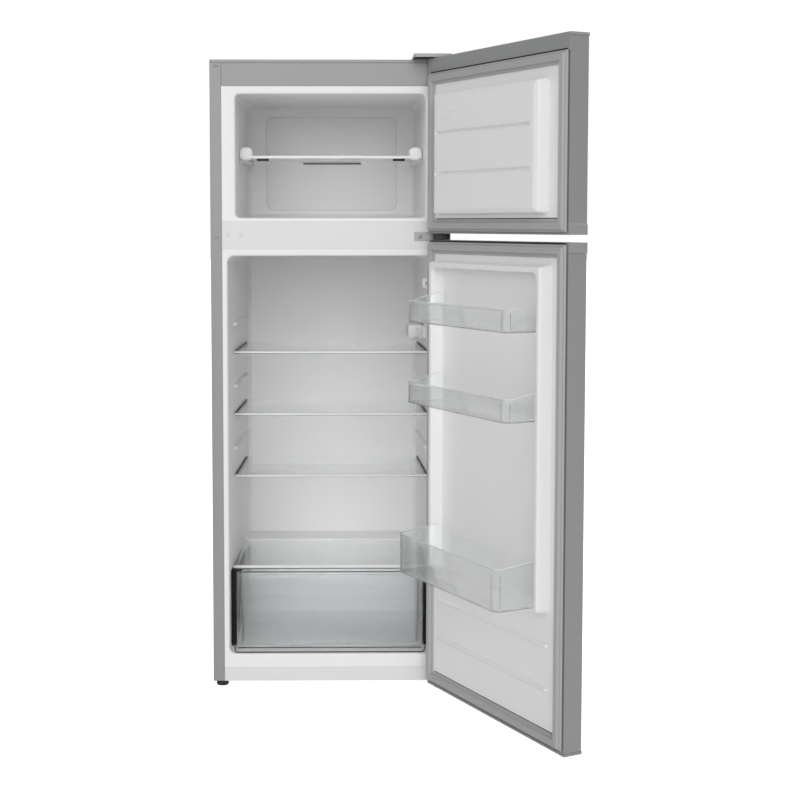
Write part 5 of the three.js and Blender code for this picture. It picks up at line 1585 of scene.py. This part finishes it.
# --------------------------------------------------------------------------------- hinges and feet
@dataclass
class Hinges(Assembly):
    """Hinge plates, their covers and screws, and the levelling feet."""

    def build(self) -> None:
        """Makes the three hinges and both feet."""
        for node, name in (("top_hinge", "upper_hinge_plate"), ("middle_hinge", "middle_hinge_plate"),
                           ("bottom_hinge", "lower_hinge_plate")):
            self.refine(node, name, HINGE_STEEL, 0.0005)
        self.refine("top_hinge_cover", "upper_hinge_cover", GREY_PLASTIC, 0.0016)
        self.refine("middle_hinge_cover", "middle_hinge_sleeve", BLACK_PLASTIC, 0.001)
        low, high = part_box("middle_hinge")
        level = (low.z + high.z) / 2
        screws = Shape()
        screws.skin(
            Screw(0.005, 0.0022).surface(
                (low.x + 0.0135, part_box("mullion_bar")[0].y - 0.0023, level), Axis.Y, -1.0
            )
        )
        self.put("middle_hinge_screw", screws, HINGE_STEEL)
        for side in ("left", "right"):
            self.foot(side)

    def foot(self, side: str) -> None:
        """A levelling foot: a lobed pad with its stud."""
        node = f"front_foot_{side}"
        low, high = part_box(node)
        r = (high.x - low.x) / 2
        centre = ((low.x + high.x) / 2, (low.y + high.y) / 2, low.z)
        table = np.array(
            (
                (0.3, 0.0), (0.9, 0.0), (0.98, 0.001), (1.0, 0.002), (1.0, 0.0075), (0.97, 0.0088),
                (0.88, 0.0095), (0.42, 0.0097), (0.36, 0.0102), (0.36, high.z - low.z)
            )
        )
        turn = np.arange(96) * (2 * math.pi / 96)
        lobes = 1 - 0.035 * (np.cos(turn * 16) > 0)
        rings = table[:, 0][:, None, None] * r * np.stack((np.cos(turn), np.sin(turn)), -1)
        rings = rings * np.where(table[:, :1, None] > 0.9, lobes[None, :, None], 1.0)
        shape = Shape().skin(stack(rings, table[:, 1], Axis.Z) + np.array(centre))
        self.put(f"{side}_levelling_foot", shape, BLACK_PLASTIC, node, body=f"{side}_foot")


# -------------------------------------------------------------------------------------------- doors
@dataclass
class Door(Assembly):
    """What both doors share: skin, end caps, foam and gasket, modelled shut.

    Attributes:
        title: the start of the CAD nodes' names.
    """

    title: str = "fridge_door"
    relief: float = 0.028
    gasket_width: float = 0.026

    def shell(self) -> None:
        """Makes the skin, the caps and the gasket."""
        kind = self.title.replace("_door", "")
        self.refine(f"{self.title}_skin", f"{kind}_door_panel", DOOR_PAINT, 0.0006)
        self.refine(f"{self.title}_top_cap", f"{kind}_door_upper_cap", CAP_GREY, 0.0011)
        self.refine(f"{self.title}_bottom_cap", f"{kind}_door_lower_cap", CAP_GREY, 0.0011)
        low, high = self.placement.box(f"{self.title}_foam")
        flat = self.placement.box(f"{self.title}_liner")[1][1] - self.relief - 0.004
        core = Shape().skin(slab(tuple(low), (high[0], flat, high[2]), Axis.Y, 0.003, 0.001))
        self.put(f"{kind}_door_core", core, FOAM, f"{self.title}_foam")
        self.gasket(kind)

    def gasket(self, kind: str) -> None:
        """The gasket: a base flap, a bellows and a magnet bulb, carried round the door.

        Each point of the profile is a rectangle round the door, in from the gasket's outer edge by
        the profile's first number and out from the liner by its second.

        Args:
            kind: freezer or fridge.
        """
        low, high = self.placement.box(f"{self.title}_gasket")
        deep = high[1] - low[1]
        profile = np.array(
            (
                (0.0, 0.0), (0.0, 0.30), (0.03, 0.42), (0.10, 0.46), (0.16, 0.42), (0.18, 0.50),
                (0.19, 0.80), (0.22, 0.93), (0.28, 0.99), (0.34, 1.0), (0.40, 0.96), (0.44, 0.90),
                (0.48, 0.90), (0.52, 0.96), (0.58, 1.0), (0.64, 0.99), (0.70, 0.93), (0.73, 0.80),
                (0.74, 0.50), (0.76, 0.42), (0.84, 0.46), (0.95, 0.42), (1.0, 0.30), (1.0, 0.0),
            )
        )
        inset = profile[:, 0] * self.gasket_width
        level = low[1] + profile[:, 1] * deep
        rings = rounded(
            low[0] + inset, high[0] - inset, low[2] + inset, high[2] - inset,
            np.maximum(0.003 - inset, 0.0004), 3
        )
        shape = Shape().skin(stack(rings, level, Axis.Y), closed=True)
        self.put(f"{kind}_door_seal", shape, GASKET, f"{self.title}_gasket", crease=50.0)
        # Painted shade: dark strips over the gasket's top and along its inner lower edge stand in for the
        # shadowed gaps there.
        inner = low[2] + self.gasket_width
        gap = Shape()
        for z0, z1, inset in (
            (high[2] + 0.0005, high[2] + 0.0032, 0.003), (inner + 0.0002, inner + 0.0024, 0.03)
        ):
            ends = (low[0] + inset, low[1] - 0.001, z0), (high[0] - inset, low[1] + 0.0012, z1)
            gap.skin(slab(*ends, Axis.X, 0.0008, 0.0005))
        self.put(f"{kind}_door_seal_painted_shade", gap, DARK_STRIP_AND_SHADE)

    def relief_sheet(
        self, height: Callable, marks_x: Numbers, marks_z: Numbers, name: str, fine: float = 0.0012
    ) -> None:
        """The door's white liner: a sheet whose relief is a height over X and Z.

        Args:
            height: relief over the flat sheet, from grids of X and Z.
            marks_x: X where grid lines crowd together.
            marks_z: Z where grid lines crowd together.
            name: name of the piece.
            fine: spacing of the crowded lines.
        """
        low, high = self.placement.box(f"{self.title}_liner")
        face = high[1] - self.relief
        x, z = np.meshgrid(
            lines(low[0], high[0], fine, 0.009, marks_x), lines(low[2], high[2], fine, 0.009, marks_z),
            indexing="ij"
        )
        grid = np.stack((x, face + height(x, z), z), -1)
        shape = Shape().sheet(grid[:, ::-1])
        self.put(name, shape, LINER_WHITE, f"{self.title}_liner", wall=0.0012, crease=60.0)


@dataclass
class FreezerDoor(Door):
    """The freezer door, whose liner has a raised panel with two level grooves.

    Attributes:
        plug_half: half width of the raised panel.
        plug_gap: how far the panel stays clear of the compartment's floor and ceiling.
        groove_depth: depth of the grooves.
        bar_length: length of the two short bars near the panel's top.
        bar_in: how far the bars start from the panel's right edge.
    """

    plug_half: float = 0.206
    plug_gap: float = 0.006
    groove_depth: float = 0.0055
    bar_length: float = 0.05
    bar_in: float = 0.105

    def build(self) -> None:
        """Makes the door."""
        self.shell()
        low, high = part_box("freezer_liner")
        middle = (low.x + high.x) / 2
        x0, x1 = middle - self.plug_half, middle + self.plug_half
        z0, z1 = low.z + FREEZER_ROOM.floor + self.plug_gap, high.z - FREEZER_ROOM.ceiling - self.plug_gap
        third = (z1 - z0) / 3
        grooves = (z0 + third, z0 + 2 * third)

        def height(x: np.ndarray, z: np.ndarray) -> np.ndarray:
            """A plug with sloping sides, a groove at each third of its height and two short bars."""
            depth = inside(x, z, (x0, x1, z0, z1), 0.008)
            plug = 0.024 * ease(depth / 0.004) + 0.004 * ease((depth - 0.002) / 0.014)
            end = ease((x - (x0 + 0.026)) / 0.006) * ease((x1 - 0.010 - x) / 0.004)
            for level in grooves:
                under = level + 0.005 - z
                cut = ease(under / 0.0013) * (1 - ease((under - 0.006) / 0.005))
                plug = plug - self.groove_depth * cut * end * (depth > 0.006)
            start = x1 - self.bar_in
            for level in (z1 - 0.042, z1 - 0.052):
                bar = inside(x, z, (start, start + self.bar_length, level - 0.0022, level + 0.0022), 0.001)
                plug = plug + 0.0008 * ease((bar + 0.001) / 0.0012)
            return plug

        marks_x = (x0 + 0.005, x1 - 0.005, x0 + 0.028, x1 - 0.012, x1 - self.bar_in, x1 - 0.055)
        self.relief_sheet(
            height, marks_x, (z0 + 0.005, z1 - 0.006, *grooves, z1 - 0.047), "freezer_door_inner_panel"
        )


@dataclass
class FridgeDoor(Door):
    """The fridge door, whose liner has raised borders that hold three clear bins.

    Attributes:
        border_half: half width over both side borders.
        border_width: width of a border.
        border_gap: how far the top border stays under the compartment's ceiling.
        bin_corner: radius of the bins' front corners.
        bin_steps: steps round each of a bin's corners and along each of its sides.
    """

    border_half: float = 0.222
    border_width: float = 0.018
    border_gap: float = 0.007
    bin_corner: float = 0.018
    bin_steps: tuple[int, int] = (9, 36)

    def build(self) -> None:
        """Makes the door and its bins."""
        self.shell()
        low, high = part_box("fridge_liner")
        middle = (low.x + high.x) / 2
        half, width = self.border_half, self.border_width
        top = high.z - FRIDGE_ROOM.ceiling - self.border_gap
        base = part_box("bottle_bin")[0].z - 0.011
        ribs = (base - 0.067, base - 0.156)

        def height(x: np.ndarray, z: np.ndarray) -> np.ndarray:
            """Borders down both sides and across the top, and two low ribs below them."""
            outer = inside(x, z, (middle - half, middle + half, base, top), 0.010)
            hollow = inside(
                x, z, (middle - half + width, middle + half - width, base - 0.2, top - width), 0.014
            )
            border = 0.028 * ease(outer / 0.006) * (1 - ease((hollow + 0.003) / 0.005))
            panel = 0.0
            for level in ribs:
                bar = inside(
                    x, z, (middle - half + 0.006, middle + half - 0.006, level - 0.004, level + 0.004),
                    0.003
                )
                panel = panel + 0.005 * ease((bar + 0.001) / 0.004)
            return border + panel

        marks_x = (
            middle - half + 0.003, middle + half - 0.003, middle - half + width, middle + half - width
        )
        marks_z = (
            base + 0.004, top - 0.004, top - width, ribs[0] - 0.004, ribs[0] + 0.004, ribs[1] - 0.004,
            ribs[1] + 0.004
        )
        self.relief_sheet(height, marks_x, marks_z, "fridge_door_inner_panel")
        for node, name in (
            ("top_bin", "upper_door_bin"), ("middle_bin", "middle_door_bin"),
            ("bottle_bin", "bottle_door_bin")
        ):
            self.bin(node, name)

    def bin(self, node: str, name: str) -> None:
        """A clear bin whose rim falls from its ends to its front.

        The rim's height goes from the end's height down to the front's in a straight line between
        the two round corners, and dips in the middle of the back.

        Args:
            node: the CAD node.
            name: name of the piece.
        """
        low, high = self.placement.box(node)
        drop = {"top_bin": (0.016, 0.035), "middle_bin": (0.014, 0.034), "bottle_bin": (0.010, 0.013)}[node]
        half, middle = (high[0] - low[0]) / 2, (low[0] + high[0]) / 2
        corner, (arc, side) = self.bin_corner, self.bin_steps

        def rim(x: np.ndarray, y: np.ndarray) -> np.ndarray:
            """Height of the rim over each point of the outline."""
            slope = np.interp(y, (low[1] + corner, high[1] - corner), (high[2], high[2] - drop[0]))
            back = ease((half - corner - np.abs(x - middle)) / 0.012) * (y < low[1] + 0.006)
            return slope - back * drop[1]

        corners = (corner, corner, 0.004, 0.004)
        shape = Shape().skin(
            vessel(tuple(low), tuple(high), 0.0024, corners, 0.006, rim, 0.0, 0.0007, side, arc)
        )
        self.put(name, shape, CLEAR, node)
        self.highlight_and_shade_lines(name, low, high, rim)

    def highlight_and_shade_lines(self, name: str, low: np.ndarray, high: np.ndarray, rim: Callable) -> None:
        """Painted highlight along a bin's rim, and painted shade lines along its foot and its two round
        front corners.

        Args:
            name: name of the bin.
            low: its lowest corner.
            high: its highest corner.
            rim: height of the rim from X and Y.
        """
        corner, (arc, side) = self.bin_corner, self.bin_steps
        loop = rounded(
            low[0], high[0], low[1], high[1], np.array(((corner, corner, 0.004, 0.004),)), arc, side
        )[0]
        block = len(loop) // 4
        front = np.roll(loop, block, axis=0)[6 : 3 * block + 4]
        # Painted highlight: a pale line along the rim.
        upper = np.column_stack((front, rim(front[:, 0], front[:, 1]) - 0.0006))
        lower = np.column_stack((front, np.full(len(front), low[2] + 0.0016)))
        self.put(f"{name}_rim", Shape().skin(tube(upper, 0.0009, 8)), PAINTED_HIGHLIGHT_BEAD)
        # Painted shade: dark lines along the foot and down the front corners.
        foot = Shape().skin(tube(lower, 0.0007, 8))
        for x in (low[0] + corner * 0.1, low[0] + corner, high[0] - corner * 0.1, high[0] - corner):
            y = high[1] - (corner * 0.6 if x in (low[0] + corner * 0.1, high[0] - corner * 0.1) else 0.0)
            z = np.linspace(low[2] + 0.006, high[2] - 0.022, 6)
            line = np.stack((np.full(6, x), np.full(6, y), z), -1)
            foot.skin(tube(line, 0.0005, 6, (1.0, 0.0, 0.0)))
        self.put(f"{name}_foot_painted_shade", foot, PAINTED_SHADE_BEAD)


# ------------------------------------------------------------------------------------------- studio
@dataclass(frozen=True)
class Studio:
    """A pale floor, soft light all round and the camera.

    Attributes:
        eye: where the camera is.
        focal: focal length in millimetres.
        pitch: how far the camera looks down, in degrees.
        yaw: how far it is turned to the left, in degrees.
        shift: the camera's shift.
        sky: strength of the sky on the object.
        key: energy of the lamp in front.
        height: its height over the floor, in degrees.
        turn: its turn about the object, in degrees.
        back_key: energy of the lamp behind.
        back_height: its height, in degrees.
        back_turn: its turn, in degrees.
        lamp_angle: how wide both lamps are, in degrees.
        backdrop: strength of the sky to the camera.
        floor_glow: glow of the floor on the object and to the camera.
        floor_reach: half the floor's side.
    """

    eye: Corner = (-0.0888, -3.3915, 1.0729)
    focal: float = 67.11
    pitch: float = 4.178
    yaw: float = -0.6
    shift: tuple[float, float] = (0.0524, -0.085)
    sky: float = 0.38
    key: float = 1.36
    height: float = 24.0
    turn: float = -4.0
    back_key: float = 0.8
    back_height: float = 35.0
    back_turn: float = 150.0
    lamp_angle: float = 50.0
    backdrop: float = 1.0
    floor_glow: tuple[float, float] = (0.1, 0.9)
    floor_reach: float = 40.0

    def build(self) -> None:
        """Makes the floor, the light and the camera."""
        self.floor()
        self.light()
        self.camera()

    def floor(self) -> None:
        """A wide pale floor."""
        mesh = bpy.data.meshes.new("studio_floor")
        reach = self.floor_reach
        mesh.from_pydata(
            [(-reach, -reach, 0), (reach, -reach, 0), (reach, reach, 0), (-reach, reach, 0)], [],
            [(0, 1, 2, 3)]
        )
        floor = bpy.data.objects.new("studio_floor", mesh)
        bpy.context.scene.collection.objects.link(floor)
        material = bpy.data.materials.new("pale floor")
        material.use_nodes = True
        shader = material.node_tree.nodes["Principled BSDF"]
        graph = Graph(material.node_tree)
        white = (1.0, 1.0, 1.0, 1.0)
        graph.feed(shader, {"Base Color": (0.9, 0.9, 0.9, 1.0), "Roughness": 0.8, "Emission Color": white})
        seen = graph.add("ShaderNodeLightPath").outputs["Is Camera Ray"]
        graph.feed(shader, {"Emission Strength": graph.spread(seen, *self.floor_glow)})
        mesh.materials.append(material)

    def light(self) -> None:
        """An even sky, darker to the object than to the eye, and broad soft lamps in front and behind."""
        world = bpy.data.worlds.new("studio")
        bpy.context.scene.world = world
        world.use_nodes = True
        graph = Graph(world.node_tree)
        seen = graph.add("ShaderNodeLightPath").outputs["Is Camera Ray"]
        background = world.node_tree.nodes["Background"]
        background.inputs["Color"].default_value = (1.0, 1.0, 1.0, 1.0)
        graph.feed(background, {"Strength": graph.spread(seen, self.sky, self.backdrop)})
        for name, energy, height, turn in (
            ("front_lamp", self.key, self.height, self.turn),
            ("rear_lamp", self.back_key, self.back_height, self.back_turn),
        ):
            lamp = bpy.data.lights.new(name, "SUN")
            lamp.energy, lamp.angle = energy, math.radians(self.lamp_angle)
            holder = bpy.data.objects.new(name, lamp)
            holder.location = (0.0, 0.0, 3.0)
            holder.rotation_euler = (math.radians(90 - height), 0.0, math.radians(turn))
            bpy.context.scene.collection.objects.link(holder)

    def camera(self) -> None:
        """The camera, level but for its pitch, with the small shift that frames the object."""
        data = bpy.data.cameras.new("main_camera")
        data.lens, data.sensor_width = self.focal, 36.0
        data.shift_x, data.shift_y = self.shift
        holder = bpy.data.objects.new("main_camera", data)
        holder.location = self.eye
        holder.rotation_euler = (QUARTER - math.radians(self.pitch), 0.0, math.radians(self.yaw))
        bpy.context.scene.collection.objects.link(holder)
        bpy.context.scene.camera = holder
        bpy.context.scene.view_settings.view_transform = "Standard"


def main() -> None:
    """Builds every sub-assembly in order."""
    logging.basicConfig(level=logging.INFO, format="%(name)s: %(message)s")
    Studio().build()
    Cabinet().build()
    FreezerShelf("freezer_shelf").build()
    for number in (1, 2, 3):
        Shelf(f"fridge_shelf_{number}", number=number).build()
    Crisper().build()
    Thermostat().build()
    Machinery().build()
    Hinges().build()
    FreezerDoor("freezer_door", hinge("freezer_door_hinge"), "freezer_door").build()
    FridgeDoor("fridge_door", hinge("fridge_door_hinge"), "fridge_door").build()


if __name__ == "__main__":
    main()
